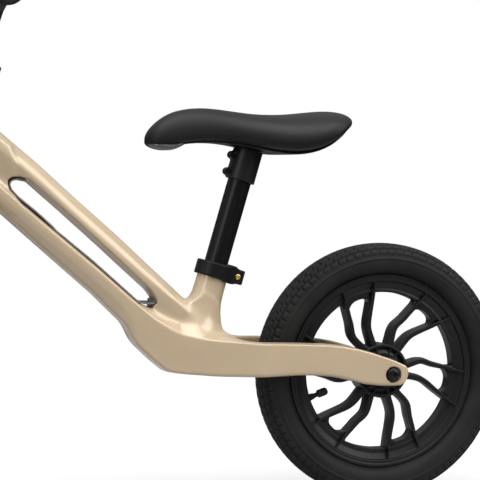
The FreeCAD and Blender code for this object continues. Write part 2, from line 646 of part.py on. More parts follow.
    sleeve = body(side + "_hub_sleeve")
    turned(sleeve, [[("-bearing_inside", "axle_radius + 0.03"),
                     ("bearing_inside", "axle_radius + 0.03"),
                     ("bearing_inside", "axle_radius + 2"), ("-bearing_inside", "axle_radius + 2")]])
    place(sleeve, **where)
    spacer = body(side + "_hub_spacers")
    turned(spacer, pair([("hub_half", "axle_radius + 0.03"), ("gap_half", "axle_radius + 0.03"),
                         ("gap_half", "axle_radius + 4"), ("hub_half + 1.5", "axle_radius + 4"),
                         ("hub_half + 1.5", "axle_radius + 2.5"),
                         ("hub_half", "axle_radius + 2.5")]))
    place(spacer, **where)
    axle = body(side + "_axle")
    turned(axle, [[("-gap_half", "bolt_radius"), ("-gap_half", "axle_radius"),
                   ("gap_half", "axle_radius"), ("gap_half", "bolt_radius"),
                   ("gap_half - 16", "bolt_radius"), ("gap_half - 16", "0"),
                   ("-gap_half + 16", "0"), ("-gap_half + 16", "bolt_radius")]])
    place(axle, **where)
    washer = body(side + "_axle_washers")
    turned(washer, pair([("outer_half - 3", "bolt_radius + 0.2"),
                         ("outer_half - 1.5", "bolt_radius + 0.2"),
                         ("outer_half - 1.5", "bolt_radius * 2"),
                         ("outer_half - 3", "bolt_radius * 2")]))
    place(washer, **where)
    bolt = body(side + "_axle_bolts")
    turned(bolt, pair([("gap_half - 14", "0"), ("gap_half - 14", "bolt_radius - running_gap"),
                       ("outer_half - 1.5", "bolt_radius - running_gap"),
                       ("outer_half - 1.5", "bolt_radius * 1.75"),
                       ("outer_half", "bolt_radius * 1.72"),
                       ("outer_half + 1.6", "bolt_radius * 1.45"),
                       ("outer_half + 2.9", "bolt_radius * 0.95"),
                       ("outer_half + 2.9", "bolt_radius * 0.62"),
                       ("outer_half + 0.4", "bolt_radius * 0.62"), ("outer_half + 0.4", "0")]))
    place(bolt, **where)

# ---------------------------------------------------------------- handlebar
bar_solid = fused("bar_solid", [
    cylinder("cross_bar", "stem_radius", "bar_width - 8", "-bar_width / 2 + 4", "0",
             "bar_height", wheel=True),
    cylinder("bar_stem", "stem_radius", "bar_height - head_high + 60", "head_high - 60"),
    cylinder("bar_joint", "stem_radius + 4", "36", "-18", "0", "bar_height", wheel=True),
    cylinder("bar_neck", "stem_radius + 3", "30", "bar_height - 32")])
bar_hollow = fused("bar_hollow", [
    cylinder("cross_hollow", "stem_radius - 2", "bar_width", "-bar_width / 2", "0",
             "bar_height", wheel=True),
    cylinder("stem_hollow", "stem_radius - 2", "bar_height - head_high + 65", "head_high - 65")])
bar = cut("handlebar", bar_solid, bar_hollow, part=True)
place(bar, **STEER)
for name, way in (("left_grip", "-"), ("right_grip", "")):
    grip = body(name)
    turned(grip, [[(way + "(" + y + ")", r) for y, r in (
        ("bar_width / 2 - grip_length", "stem_radius + running_gap"),
        ("bar_width / 2 - grip_length", "stem_radius + 6.5"),
        ("bar_width / 2 - grip_length + 4", "stem_radius + 6.5"),
        ("bar_width / 2 - grip_length + 5", "stem_radius + 4"),
        ("bar_width / 2 - 9", "stem_radius + 4.5"), ("bar_width / 2 - 7", "stem_radius + 9"),
        ("bar_width / 2 - 2", "stem_radius + 9"), ("bar_width / 2", "stem_radius + 7"),
        ("bar_width / 2", "0"), ("bar_width / 2 - 3.9", "0"),
        ("bar_width / 2 - 3.9", "stem_radius + running_gap"))]])
    place(grip, "steer_place + bar_height * sin(steer_tilt)",
          "steer_height + bar_height * cos(steer_tilt)")
plugs = body("bar_end_plugs")
turned(plugs, pair([("bar_width / 2 - 18", "0"), ("bar_width / 2 - 18", "stem_radius - 2.05"),
                    ("bar_width / 2 - 4", "stem_radius - 2.05"), ("bar_width / 2 - 4", "0")]))
place(plugs, "steer_place + bar_height * sin(steer_tilt)",
      "steer_height + bar_height * cos(steer_tilt)")

# ---------------------------------------------------------------- seat post and saddle
item = body("seat_post")
turned(item, [[("post_radius - 1.8", "-95"), ("post_radius", "-95"), ("post_radius", "124"),
               ("post_radius - 1.8", "124")]], wheel=False)
place(item, **SEAT)
item = body("post_plug")
turned(item, [[("0", "-95"), ("post_radius - 1.85", "-95"), ("post_radius - 1.85", "-83"),
               ("0", "-83")]], wheel=False)
place(item, **SEAT)


def saddle_points(points):
    # corners measured from the rear axle; the saddle's own origin is on the seat tube's axis
    return [("(%g) * saddle_stretch" % (x + 187), "%g" % (z - 123)) for x, z in points]


def saddle_plan(shrink):
    half = [(-265.5 + shrink, 0), (-263.5 + shrink, 9), (-257 + shrink, 17 - shrink),
            (-240, 22.5 - shrink), (-206, 27 - shrink), (-170, 34.5 - shrink),
            (-134, 49.5 - shrink), (-99, 65 - shrink), (-71, 70 - shrink), (-58, 65 - shrink),
            (-48 - shrink, 54 - shrink), (-41 - shrink, 34 - shrink), (-39.5 - shrink, 0)]
    loop = [("(%g) * saddle_stretch" % (x + 187), "(%g) * saddle_spread" % y) for x, y in half]
    loop += [("(%g) * saddle_stretch" % (x + 187), "(%g) * saddle_spread" % -y)
             for x, y in reversed(half) if y]
    return loop


under = [(-265.5, 253.5), (-258, 251), (-246, 250.5), (-235, 252), (-222, 254), (-206, 255),
         (-188, 254.6), (-170, 252.6), (-152, 249.4), (-134, 246), (-116, 243.5), (-99, 244.2),
         (-84, 248), (-71, 254), (-58, 261.5), (-46, 269.5)]
pad = common("saddle_pad", [
    extruded("pad_side", [saddle_points([
        (-39.5, 274), (-42, 279), (-50, 283.6), (-71, 285), (-99, 282.6), (-134, 281.2),
        (-160, 283.2), (-188, 286.6), (-206, 287.6), (-222, 286.2), (-235, 283), (-246, 277.6),
        (-254.5, 271.2), (-261, 264.4), (-264.6, 258.4)] + under)], "side",
        "saddle_width + 40"),
    extruded("pad_plan", [saddle_plan(0)], "plan", "600")])
pad.Label = "saddle_pad"
PARTS.append(pad)
place(pad, SEAT["x"], SEAT["z"])
floor = [(x, z - 6) for x, z in under]
plate = common("base_plate", [
    extruded("base_side", [saddle_points([(x, z - 0.1) for x, z in under] + floor[::-1])],
             "side", "saddle_width + 40"),
    extruded("base_plan", [saddle_plan(4)], "plan", "600")])
solid = fused("base_solid", [
    plate, cylinder("collar", "post_radius + 3.3", "36", "91", tilt="seat_tilt"),
    block("lug_low", ("-post_radius - 8", "-6", "93"), ("8", "12", "9"), tilt="seat_tilt"),
    block("lug_high", ("-post_radius - 8", "-6", "110"), ("8", "12", "9"), tilt="seat_tilt")])
lugs = []
for level in ("97.5", "114.5"):
    lugs.append({"x": "(-post_radius - 5) * cos(seat_tilt) + %s * sin(seat_tilt)" % level,
                 "z": "(post_radius + 5) * sin(seat_tilt) + %s * cos(seat_tilt)" % level})
holes = fused("base_holes", [
    cylinder("collar_hole", "post_radius + running_gap", "40", "84.1", tilt="seat_tilt")] +
    [cylinder("lug_hole", "1.6", "30", "-15", wheel=True, **lug) for lug in lugs])
base = cut("saddle_base", solid, holes, part=True)
place(base, SEAT["x"], SEAT["z"])
screws = []
for lug in lugs:
    screws.append(cylinder("lug_screw", "1.5", "14", "-8", wheel=True, **lug))
    screws.append(cylinder("lug_head", "2.7", "2", "-8.05", wheel=True, **lug))
item = fused("saddle_screws", screws, part=True)
place(item, SEAT["x"], SEAT["z"])
item = body("nose_trim")
raised(item, "XZ_Plane", [saddle_points([
    (-258, 244.7), (-246, 244.2), (-235, 245.6), (-228, 246.7), (-230, 244.5), (-245, 241.5),
    (-255, 242.3)])], "26")
place(item, SEAT["x"], SEAT["z"])

# ---------------------------------------------------------------- checks and export
doc.recompute()
for item in doc.Objects:
    if "Invalid" in item.State or "Error" in item.State:
        raise RuntimeError(item.Label + " has not been worked out: " + str(item.State))
for item in PARTS:
    if item.Shape.isNull() or not item.Shape.isValid() or not item.Shape.Solids:
        raise RuntimeError(item.Label + " is not a sound solid")
    item.Shape.exportStep("parts/" + item.Label + ".step")
    print(item.Label, len(item.Shape.Solids), round(item.Shape.Volume / 1000, 2))
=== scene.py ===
import bpy
import itertools
import math
import numpy as np
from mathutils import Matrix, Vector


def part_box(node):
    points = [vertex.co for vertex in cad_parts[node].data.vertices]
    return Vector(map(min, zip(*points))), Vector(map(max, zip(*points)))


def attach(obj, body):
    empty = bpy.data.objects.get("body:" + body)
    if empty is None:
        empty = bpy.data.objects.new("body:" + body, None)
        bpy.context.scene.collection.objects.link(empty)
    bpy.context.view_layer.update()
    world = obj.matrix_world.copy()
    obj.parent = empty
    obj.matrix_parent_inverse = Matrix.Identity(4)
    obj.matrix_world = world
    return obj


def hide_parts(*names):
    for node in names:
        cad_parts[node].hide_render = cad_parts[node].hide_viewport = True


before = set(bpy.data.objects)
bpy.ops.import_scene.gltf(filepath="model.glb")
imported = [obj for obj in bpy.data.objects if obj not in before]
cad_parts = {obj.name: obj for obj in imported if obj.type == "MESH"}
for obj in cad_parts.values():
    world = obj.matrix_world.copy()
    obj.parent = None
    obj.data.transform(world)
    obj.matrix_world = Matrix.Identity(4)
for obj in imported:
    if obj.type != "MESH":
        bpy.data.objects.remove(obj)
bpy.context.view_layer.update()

# ------------------------------------------------------------------ frame
# One casting in light alloy: a slotted beam, a seat tube, a head tube and two arms that hold
# the rear wheel.  It is die cast in one piece, ground along its creases and painted in a pearl
# champagne under clear lacquer.  All its sizes are millimetres from the rear axle.
MM = 0.001


def middle_of(node):
    """the middle of a node's box, in millimetres, on the bike's middle plane"""
    low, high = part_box(node)
    return np.array([(low.x + high.x) / 2, 0.0, (low.z + high.z) / 2]) / MM


REAR, FRONT = middle_of("rear_tyre"), middle_of("front_tyre")
HEAD_ANGLE = math.radians(71)
FORK_OFFSET = 18.0
STEER_WAY = np.array([math.cos(HEAD_ANGLE), 0.0, math.sin(HEAD_ANGLE)])
STEER_FOOT = FRONT + FORK_OFFSET * np.array([STEER_WAY[2], 0.0, -STEER_WAY[0]])
STEER_AXIS = (STEER_FOOT, STEER_WAY)
SEAT_ANGLE = math.radians(73.3)
SEAT_WAY = np.array([math.cos(SEAT_ANGLE), 0.0, math.sin(SEAT_ANGLE)])
SEAT_FOOT = REAR + np.array([-187.0, 0.0, 123.0])
SEAT_AXIS = (SEAT_FOOT, SEAT_WAY)
FRAME_STEP = 1.7
HEAD_MIDDLE = 279.0
STEERER_BORE, RACE_BORE = 17.6, 20.9
POST_BORE = 12.9
AXLE_HOLE, BOLT_RECESS = 4.2, 8.8
RECESS_FROM = 43.0


def soft_max(a, b, k):
    """the larger of two distances, rounded over k where they are nearly equal"""
    mix = np.clip(0.5 + 0.5 * (a - b) / k, 0, 1)
    return b + (a - b) * mix + k * mix * (1 - mix)


def soft_min(a, b, k):
    """the smaller of two distances, filleted over k where they are nearly equal"""
    return -soft_max(-a, -b, k)


def run(points, soft=3.0):
    """a value along a length: straight between a few points, its corners rounded by `soft` mm"""
    at, value = np.array(points, float).T
    fine = np.arange(at[0] - 4 * soft, at[-1] + 4 * soft, 0.5)
    pad = round(6 * soft)
    bell = np.exp(-0.5 * (np.arange(-pad, pad + 1) * 0.5 / soft) ** 2)
    inner = np.interp(fine, at, value)
    slope = ((value[1] - value[0]) / (at[1] - at[0]), (value[-1] - value[-2]) / (at[-1] - at[-2]))
    inner += slope[0] * np.minimum(fine - at[0], 0) + slope[1] * np.maximum(fine - at[-1], 0)
    smooth = np.convolve(np.pad(inner, pad, mode="edge"), bell / bell.sum(), mode="valid")
    return lambda x: np.interp(x, fine, smooth)


def outline_distance(x, z, corners):
    """distance to a closed outline, negative inside: nearest side, with a crossing count"""
    nearest, inside = np.inf, False
    for (ax, az), (bx, bz) in zip(corners, corners[1:] + corners[:1]):
        ex, ez, wx, wz = bx - ax, bz - az, x - ax, z - az
        part = np.clip((wx * ex + wz * ez) / (ex * ex + ez * ez), 0, 1)
        nearest = np.minimum(nearest, np.hypot(wx - part * ex, wz - part * ez))
        crossed = ((az > z) != (bz > z)) & (wx < ex * wz / (ez if ez else 1e-9))
        inside = inside ^ crossed
    return np.where(inside, -nearest, nearest)


def faceted(y, z, corners, softs):
    """how far a point stands outside a half section whose corners run from crown to keel"""
    worst = None
    for (y0, z0), (y1, z1), soft in zip(corners, corners[1:], [None] + softs):
        across, drop = y1 - y0, z0 - z1
        face = ((y - y0) * drop + (z - z0) * across) / np.hypot(across, drop)
        worst = face if worst is None else soft_max(worst, face, soft)
    return worst


def rod(x, y, z, foot, way):
    """distance from a leaning axis in the middle plane, and distance along it"""
    along = (x - foot[0]) * way[0] + (z - foot[2]) * way[2]
    ahead = (x - foot[0]) * way[2] - (z - foot[2]) * way[0]
    return np.hypot(ahead, y), along, ahead


TOP = run([(-480, 315), (-455, 293.5), (-418, 261), (-379, 227.8), (-339, 191), (-309, 164.5),
           (-293, 150), (-258, 116.8), (-239, 99.3), (-222, 83.3), (-200, 62), (-170, 40)], 5)
CREASE = run([(-450, 229), (-363, 155), (-316, 115), (-278, 81), (-259, 64.5), (-245, 55),
              (-233, 49), (-221, 46), (-206, 43.5), (-180, 41), (-150, 38.5), (-108, 37),
              (-74, 35), (-57, 33), (-40, 29.5), (-23, 24.5), (-10, 20), (0, 16.5), (10, 12)], 3)
FOLD = run([(-480, 244), (-382, 160), (-345, 130), (-309, 98), (-279, 72), (-250, 44),
            (-215, 26), (-175, 16.5), (-122, 13.5), (-60, 9), (-22, 7), (20, 6)], 4)
KEEL = run([(-480, 231.6), (-422, 180), (-390, 151), (-325, 93), (-292, 60), (-287, 53),
            (-283, 43), (-277, 35), (-262, 20.5), (-248, 9), (-240, 6.5), (-227, 5), (-193, 2),
            (-143, 0), (-108, 1), (-86, 0), (-69, -2), (-52, -6), (-34, -11), (-17, -13.5),
            (-3, -14.5), (10, -14.5)], 2)
WIDE = run([(-480, 22), (-278, 22), (-259, 24), (-245, 26.5), (-230, 30), (-206, 35.5),
            (-180, 40.5), (-163, 43), (-145, 45), (-108, 46), (-40, 46.5), (20, 46.3)], 4)
KEEL_WIDE = run([(-480, 15.5), (-300, 15.5), (-283, 18), (-262, 22), (-230, 30), (-200, 36),
                 (-163, 41), (-145, 43.5), (-108, 44.6), (0, 45), (20, 45)], 4)
SHELF = run([(-480, 17), (-276, 17), (-262, 15.5), (-240, 13.5), (-210, 13), (-188, 16),
             (-170, 26), (-155, 33), (20, 35)], 4)
SHELF_RISE = run([(-480, 3.3), (-276, 3.3), (-262, 9), (-240, 17), (-215, 17), (-190, 8),
                  (-170, 3), (-150, 1.5), (20, 0.8)], 4)
CROWN_WIDE = run([(-480, 20.3), (-250, 20.3), (-232, 18.5), (-215, 16.5), (-190, 16)], 4)
CROWN_DEEP = run([(-480, 24), (-300, 24), (-268, 21), (-240, 16), (-190, 15)], 5)
CROWN_EDGE = run([(-480, 30), (-295, 30), (-268, 26), (-257, 23), (-233, 20.5), (-190, 20)], 5)
CROWN_SOFT = run([(-480, 9), (-330, 7), (-290, 3.2), (-265, 1.6), (-190, 1.6)], 5)
LIP_WIDE = run([(-480, 17.2), (-267, 17.2), (-250, 14.5), (-230, 13), (-190, 13)], 4)
LIP_DEEP = run([(-480, 33.5), (-267, 32.5), (-250, 38), (-230, 42), (-190, 44)], 4)
SLOT = [(-413, 208), (-411.5, 211.5), (-408, 213.6), (-401, 214), (-392, 211), (-358, 181),
        (-315, 142), (-267, 97), (-258, 86), (-256.5, 82), (-259, 80), (-276, 82), (-325, 126),
        (-363, 158.2), (-366.5, 162.5), (-384, 178), (-403, 193.5), (-411, 201.5)]
SLOT_MIDDLE = run([(-416, 209), (-388, 196), (-258, 84), (-240, 70)], 3)
HEEL = [(-258, 90), (-228, 80), (-205, 90), (-188, 78), (-183, 52), (-172, 40), (-172, 8),
        (-235, 12), (-262, 30)]
NAPE = [(-490, 300), (-452, 276), (-412, 246), (-405, 182), (-440, 208), (-480, 236)]
SEAT_WIDE = run([(-110, 30), (-90, 29), (-74, 24.5), (-60, 19.6), (-44, 17), (-25, 16.35),
                 (10, 16.3)], 4)
HEAD_WIDE = run([(200, 24), (221, 24), (229, 24), (231, 23), (327, 23), (329, 24), (337, 24),
                 (360, 24)], 0.8)
ARM_GAP = run([(-480, 31), (-62, 31), (-34, 35), (60, 35)], 3)


def casting(wx, wy, wz):
    """distance to the frame's skin: swept facets, tubes and fillets, less the slot and bores"""
    x, z, y = wx - REAR[0], wz - REAR[2], np.abs(wy)
    round_head, rise, ahead = rod(wx, y, wz, *STEER_AXIS)
    drop = TOP(x) - z
    width, deep = CROWN_WIDE(x), CROWN_DEEP(x)
    upper = (np.hypot(y / width, np.maximum(deep - drop, 0) / deep) - 1) * 20
    under = ((y - width) * (LIP_DEEP(x) - CROWN_EDGE(x)) +
             (drop - CROWN_EDGE(x)) * (width - LIP_WIDE(x))) / np.hypot(
                 LIP_DEEP(x) - CROWN_EDGE(x), width - LIP_WIDE(x))
    upper = soft_max(soft_max(upper, under, CROWN_SOFT(x)), (drop - LIP_DEEP(x) - 3) * 0.75, 3)
    upper = soft_max(soft_max(upper, x + 208, 6), -4 - ahead, 3)
    crease, wide = CREASE(x), WIDE(x)
    lower = faceted(y, z, [
        (0, crease + SHELF_RISE(x) + 0.6), (SHELF(x), crease + SHELF_RISE(x)), (wide, crease),
        (wide + 1.0, FOLD(x)), (KEEL_WIDE(x), KEEL(x) + 2.0), (0, KEEL(x) - 0.3)],
        [4, 1.5, 3.5, 4])
    ease = np.clip((x + 30) / 31.5, 0, 1)
    foot = np.hypot(np.maximum(x - 1.5, 0), (z - 1.2) * ease) - 15.8
    lower = soft_max(soft_max(lower, foot, 1.5), -4 - ahead, 3)
    heel = soft_max(outline_distance(x, z, HEEL) + 2, y - 13, 4)
    nape = soft_max(soft_max(outline_distance(x, z, NAPE), y - 17, 4), -ahead, 3)
    whole = soft_min(soft_min(upper, lower, 5), soft_min(heel, nape, 3), 9)
    round_seat, up, back = rod(wx, y, wz, *SEAT_AXIS)
    tube = soft_max(soft_max(round_seat - SEAT_WIDE(up), up + 1.5, 1), -95 - up, 8)
    whole = soft_min(whole, tube, 9)
    neck = soft_max(round_head - HEAD_WIDE(rise), np.abs(rise - HEAD_MIDDLE) - 57, 1.6)
    whole = soft_min(whole, neck, 7)
    yoke_x, yoke_y = -155.0 - x, y - (ARM_GAP(x) - 13)
    yoke = np.hypot(np.maximum(yoke_x, 0), np.maximum(yoke_y, 0)) - 13
    yoke = yoke + np.minimum(np.maximum(yoke_x, yoke_y), 0)
    whole = soft_max(whole, -yoke, 3)
    roof = np.clip((z - SLOT_MIDDLE(x)) / 6, 0, 1)
    whole = soft_max(whole, 0.19 * roof * (y - 8) - outline_distance(x, z, SLOT), 1.3)
    whole = np.maximum(whole, -np.maximum(round_seat - POST_BORE, -112 - up))
    whole = np.maximum(whole, -np.maximum(np.maximum(y - 1.2, -26 - up), -back))
    whole = np.maximum(whole, -(round_head - STEERER_BORE))
    whole = np.maximum(whole, -np.maximum(round_head - RACE_BORE,
                                          49.5 - np.abs(rise - HEAD_MIDDLE)))
    bolt = np.hypot(x, z)
    whole = soft_max(whole, -np.maximum(bolt - BOLT_RECESS, RECESS_FROM - y), 0.5)
    ring = np.hypot(bolt - 10.9, (y - 47) * 0.9) - 0.55
    return np.maximum(np.maximum(whole, -ring), -(bolt - AXLE_HOLE))


def rise_of(field, points, gap=0.05):
    """a field's slope at each point, from its difference over twice a small gap each way"""
    return np.stack([(field(*(points + nudge).T) - field(*(points - nudge).T)) / (2 * gap)
                     for nudge in np.eye(3) * gap], axis=1)


def steepest(field, points):
    """the outward direction at each point: the way in which the field rises fastest"""
    slope = rise_of(field, points, 0.25)
    return slope / np.maximum(np.linalg.norm(slope, axis=1), 1e-9)[:, None]


def net(field, lowest, highest, step):
    """closed skin where the field is zero: a point in each crossed cell, a four-sided face
    round each crossed grid edge, and the points spaced evenly and pulled onto the zero"""
    axes = [np.arange(a, b + step, step) for a, b in zip(lowest, highest)]
    value = field(axes[0][:, None, None], axes[1][None, :, None], axes[2][None, None, :])
    size = np.array(value.shape)
    within = value < 0
    corner = {}
    for place in itertools.product((0, 1), repeat=3):
        corner[place] = tuple(slice(p, s - 1 + p) for p, s in zip(place, size))
    count = sum(within[c].astype(np.int8) for c in corner.values())
    active = (count > 0) & (count < 8)
    number = np.full(active.shape, -1)
    number[active] = np.arange(active.sum())
    total, hits = np.zeros((active.sum(), 3)), np.zeros(active.sum())
    for axis in range(3):
        for place in itertools.product((0, 1), repeat=2):
            start = np.insert(np.array(place), axis, 0)
            end = start.copy()
            end[axis] = 1
            a, b = value[corner[tuple(start)]][active], value[corner[tuple(end)]][active]
            cross = (a < 0) != (b < 0)
            part = np.where(cross, a / np.where(cross, a - b, 1), 0)
            spot = np.repeat(start[None].astype(float), len(part), 0)
            spot[:, axis] = part
            total += spot * cross[:, None]
            hits += cross
    points = (np.argwhere(active) + total / hits[:, None]) * step + np.array(lowest)
    quads = []
    for axis, (one, two) in enumerate(((1, 2), (2, 0), (0, 1))):
        first = [slice(1, s - 1) for s in size]
        first[axis] = slice(0, size[axis] - 1)
        second = list(first)
        second[axis] = slice(1, size[axis])
        start, end = within[tuple(first)], within[tuple(second)]
        for chosen, order in ((start & ~end, 1), (~start & end, -1)):
            spots = np.argwhere(chosen)
            spots[:, one] += 1
            spots[:, two] += 1
            ring = []
            for step_one, step_two in ((1, 1), (0, 1), (0, 0), (1, 0)):
                cell = spots.copy()
                cell[:, one] -= step_one
                cell[:, two] -= step_two
                ring.append(number[tuple(cell.T)])
            quads.append(np.stack(ring, axis=1)[:, ::order])
    quads = np.concatenate(quads)
    edge = np.concatenate([quads[:, [k, (k + 1) % 4]] for k in range(4)])
    edge = np.concatenate([edge, edge[:, ::-1]])
    share = np.maximum(np.bincount(edge[:, 0], minlength=len(points)), 1)[:, None]
    for turn in range(7):
        if turn < 4:
            near = np.stack([np.bincount(edge[:, 0], column[edge[:, 1]], len(points))
                             for column in points.T], axis=1) / share
            points = 0.5 * points + 0.5 * near
        here = field(*points.T)
        slope = rise_of(field, points)
        size_2 = np.maximum((slope ** 2).sum(1), 0.05)
        shift = slope * (here / size_2)[:, None]
        length = np.linalg.norm(shift, axis=1)[:, None]
        points = points - shift * np.minimum(1, 0.5 * step / np.maximum(length, 1e-9))
    return points, quads


def piece(name, points, faces, smooth=True, normals=None):
    """a mesh object whose millimetre points sit where the piece sits, shaded by the exact
    directions of its surface where they are known"""
    mesh = bpy.data.meshes.new(name)
    mesh.from_pydata((np.asarray(points) * MM).tolist(), [], [list(face) for face in faces])
    mesh.polygons.foreach_set("use_smooth", np.full(len(mesh.polygons), smooth))
    if normals is not None:
        mesh.normals_split_custom_set_from_vertices(normals.tolist())
    mesh.update()
    made = bpy.data.objects.new(name, mesh)
    bpy.context.scene.collection.objects.link(made)
    return made


class Tone:
    """one output of a shader node: sums on it add Math nodes to the same material"""

    def __init__(self, tree, socket=None):
        self.tree, self.socket = tree, socket

    def make(self, kind, settings=None, sockets=None, output=0):
        """adds a node, its settings first, then the values or links of its sockets"""
        node = self.tree.nodes.new("ShaderNode" + kind)
        for key, value in (settings or {}).items():
            if key == "stops":
                ramp = node.color_ramp.elements
                while len(ramp) < len(value):
                    ramp.new(0.5)
                for stop, (place, colour) in zip(ramp, value):
                    stop.position, stop.color = place, colour
            else:
                setattr(node, key, value)
        for key, value in (sockets or {}).items():
            if isinstance(value, Tone):
                self.tree.links.new(value.socket, node.inputs[key])
            else:
                node.inputs[key].default_value = value
        return Tone(self.tree, node.outputs[output])

    def sum(self, operation, first, second=0.0):
        """one Math node of that operation"""
        return self.make("Math", {"operation": operation}, {0: first, 1: second})

    def __add__(self, other):
        return self.sum("ADD", self, other)

    def __radd__(self, other):
        return self.sum("ADD", other, self)

    def __sub__(self, other):
        return self.sum("SUBTRACT", self, other)

    def __rsub__(self, other):
        return self.sum("SUBTRACT", other, self)

    def __mul__(self, other):
        return self.sum("MULTIPLY", self, other)

    def __rmul__(self, other):
        return self.sum("MULTIPLY", other, self)

    def ramp(self, lowest, highest, start=0.0, end=1.0):
        """start to end, evenly, as this goes from lowest to highest"""
        return self.make("MapRange", None, {0: self, 1: lowest, 2: highest, 3: start, 4: end})

    def mix(self, first, second):
        """first colour where this is 0, second where it is 1"""
        return self.make("Mix", {"data_type": "RGBA"}, {0: self, 6: first, 7: second}, 2)


def material(name, **plain):
    """a Principled material, the place it is read from, and its shader"""
    made = bpy.data.materials.new(name)
    made.use_nodes = True
    shader = made.node_tree.nodes["Principled BSDF"]
    for key, value in plain.items():
        shader.inputs[key.replace("_", " ")].default_value = value
    place = Tone(made.node_tree).make("TexCoord", None, None, 3)
    return made, place, shader


def feed(shader, key, tone):
    """links a tone to one of the shader's sockets"""
    tone.tree.links.new(tone.socket, shader.inputs[key])


def grain(place, scale, detail=4.0):
    """cloudy noise, 0 to 1, at so many lumps in a metre"""
    return place.make("TexNoise", None,
                      {"Vector": place, "Scale": scale, "Detail": detail, "Roughness": 0.55})


def relief(height, depth, strength=1.0):
    """a bump of that depth in metres"""
    return height.make("Bump", None, {"Height": height, "Distance": depth, "Strength": strength})


def give(finish, *things):
    """the one finish of each of these things"""
    for thing in things:
        thing.data.materials.clear()
        thing.data.materials.append(finish)


pearl, place, shader = material("champagne_pearl", Metallic=0.12, Roughness=0.34, Coat_Weight=0.65,
                                Coat_Roughness=0.09, Coat_IOR=1.5)
cloud = grain(place, 22, 3)
flake = place.make("TexVoronoi", None, {"Vector": place, "Scale": 2600.0}, 0)
tint = (cloud * 0.5 + flake * 0.16).ramp(0.2, 0.55)
feed(shader, "Base Color", tint.mix((0.565, 0.435, 0.285, 1), (0.63, 0.495, 0.335, 1)))
feed(shader, "Roughness", grain(place, 60, 4) * 0.08 + 0.30)
feed(shader, "Normal", relief(grain(place, 420, 2) + grain(place, 9, 1) * 2.0, 0.000006))

points, quads = net(casting, (REAR[0] - 512, -50.5, REAR[2] - 19),
                    (REAR[0] + 22, 50.5, REAR[2] + 318), FRAME_STEP)
frame_look = piece("frame_casting", points, quads, normals=steepest(casting, points))
give(pearl, frame_look)
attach(frame_look, "frame")
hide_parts("frame")

# ------------------------------------------------------------------ slot trim
# A dark grey glossy strip of moulded plastic lies along the lower wall of the beam's slot and
# turns up round both of its ends.  It is pressed in, and keeps fingers off the cast edge.
TRIM_WIDE = 15.5
TRIM_THICK = 1.7
TRIM_PATH = [(-394, 212.2), (-401, 213.6), (-407.5, 213.2), (-410.6, 211), (-412, 207.6),
             (-410, 202), (-403, 194.2), (-384, 178.6), (-368, 164), (-363.6, 158.9),
             (-325, 126.7), (-276.4, 82.7), (-268, 81), (-259.5, 80.8), (-257.6, 82.4),
             (-258.4, 85)]


def even_steps(corners, gap, soft=1.0):
    """points about `gap` apart along a line of corners, the corners rounded by averaging"""
    corners = np.array(corners, float)
    reach = np.concatenate([[0], np.cumsum(np.linalg.norm(np.diff(corners, axis=0), axis=1))])
    fine = np.linspace(0, reach[-1], max(8, int(reach[-1] / 0.25)))
    line = np.stack([np.interp(fine, reach, column) for column in corners.T], axis=1)
    pad = max(1, round(3 * soft / 0.25))
    bell = np.exp(-0.5 * (np.arange(-pad, pad + 1) * 0.25 / soft) ** 2)
    bell /= bell.sum()
    before = 2 * line[0] - line[pad:0:-1]
    after = 2 * line[-1] - line[-2:-pad - 2:-1]
    whole = np.concatenate([before, line, after])
    line = np.stack([np.convolve(column, bell, mode="valid") for column in whole.T], axis=1)
    return line[np.linspace(0, len(line) - 1, max(2, round(reach[-1] / gap))).astype(int)]


def rounded(corners, radius, steps=3):
    """an outline whose corners become arcs of that radius, with a point just outside each arc
    so that the flats beside it stay flat"""
    corners = np.array(corners, float)
    before, after = np.roll(corners, 1, axis=0), np.roll(corners, -1, axis=0)
    back, fore = before - corners, after - corners
    back_long, fore_long = np.linalg.norm(back, axis=1), np.linalg.norm(fore, axis=1)
    radius = np.broadcast_to(np.array(radius, float), back_long.shape)
    cut = np.minimum(radius, 0.4 * np.minimum(back_long, fore_long))[:, None]
    start = corners + back / back_long[:, None] * cut
    end = corners + fore / fore_long[:, None] * cut
    t = np.linspace(0, 1, steps + 1)[None, :, None]
    arc = (start[:, None] * (1 - t) ** 2 + 2 * corners[:, None] * t * (1 - t) +
           end[:, None] * t ** 2)
    lead = corners + back / back_long[:, None] * cut * 1.22
    trail = corners + fore / fore_long[:, None] * cut * 1.22
    return np.concatenate([lead[:, None], arc, trail[:, None]], axis=1).reshape(-1, 2)


def skin(rings, looped=False):
    """rings of points joined into a tube: quads between neighbours, and a fan at each end, or
    the last ring joined to the first"""
    rings = np.asarray(rings, float)
    count, around = rings.shape[:2]
    i = np.arange(count if looped else count - 1)[:, None]
    j = np.arange(around)[None, :]
    a, b = i * around + j, i * around + (j + 1) % around
    c, d = (i + 1) % count * around + (j + 1) % around, (i + 1) % count * around + j
    faces = np.stack([a, b, c, d], axis=2).reshape(-1, 4).tolist()
    points = rings.reshape(-1, 3)
    if not looped:
        points = np.concatenate([points, rings[:1].mean(axis=1), rings[-1:].mean(axis=1)])
        j = np.arange(around)
        near, far = count * around, count * around + 1
        faces += np.stack([(j + 1) % around, j, np.full(around, near)], axis=1).tolist()
        last = (count - 1) * around
        faces += np.stack([last + j, last + (j + 1) % around, np.full(around, far)],
                          axis=1).tolist()
    return points, faces


def gather(shells):
    """several closed shells as one list of points and one of faces"""
    points, faces, start = [], [], 0
    for some, theirs in shells:
        points.append(np.asarray(some, float))
        faces += [[corner + start for corner in face] for face in theirs]
        start += len(some)
    return np.concatenate(points), faces


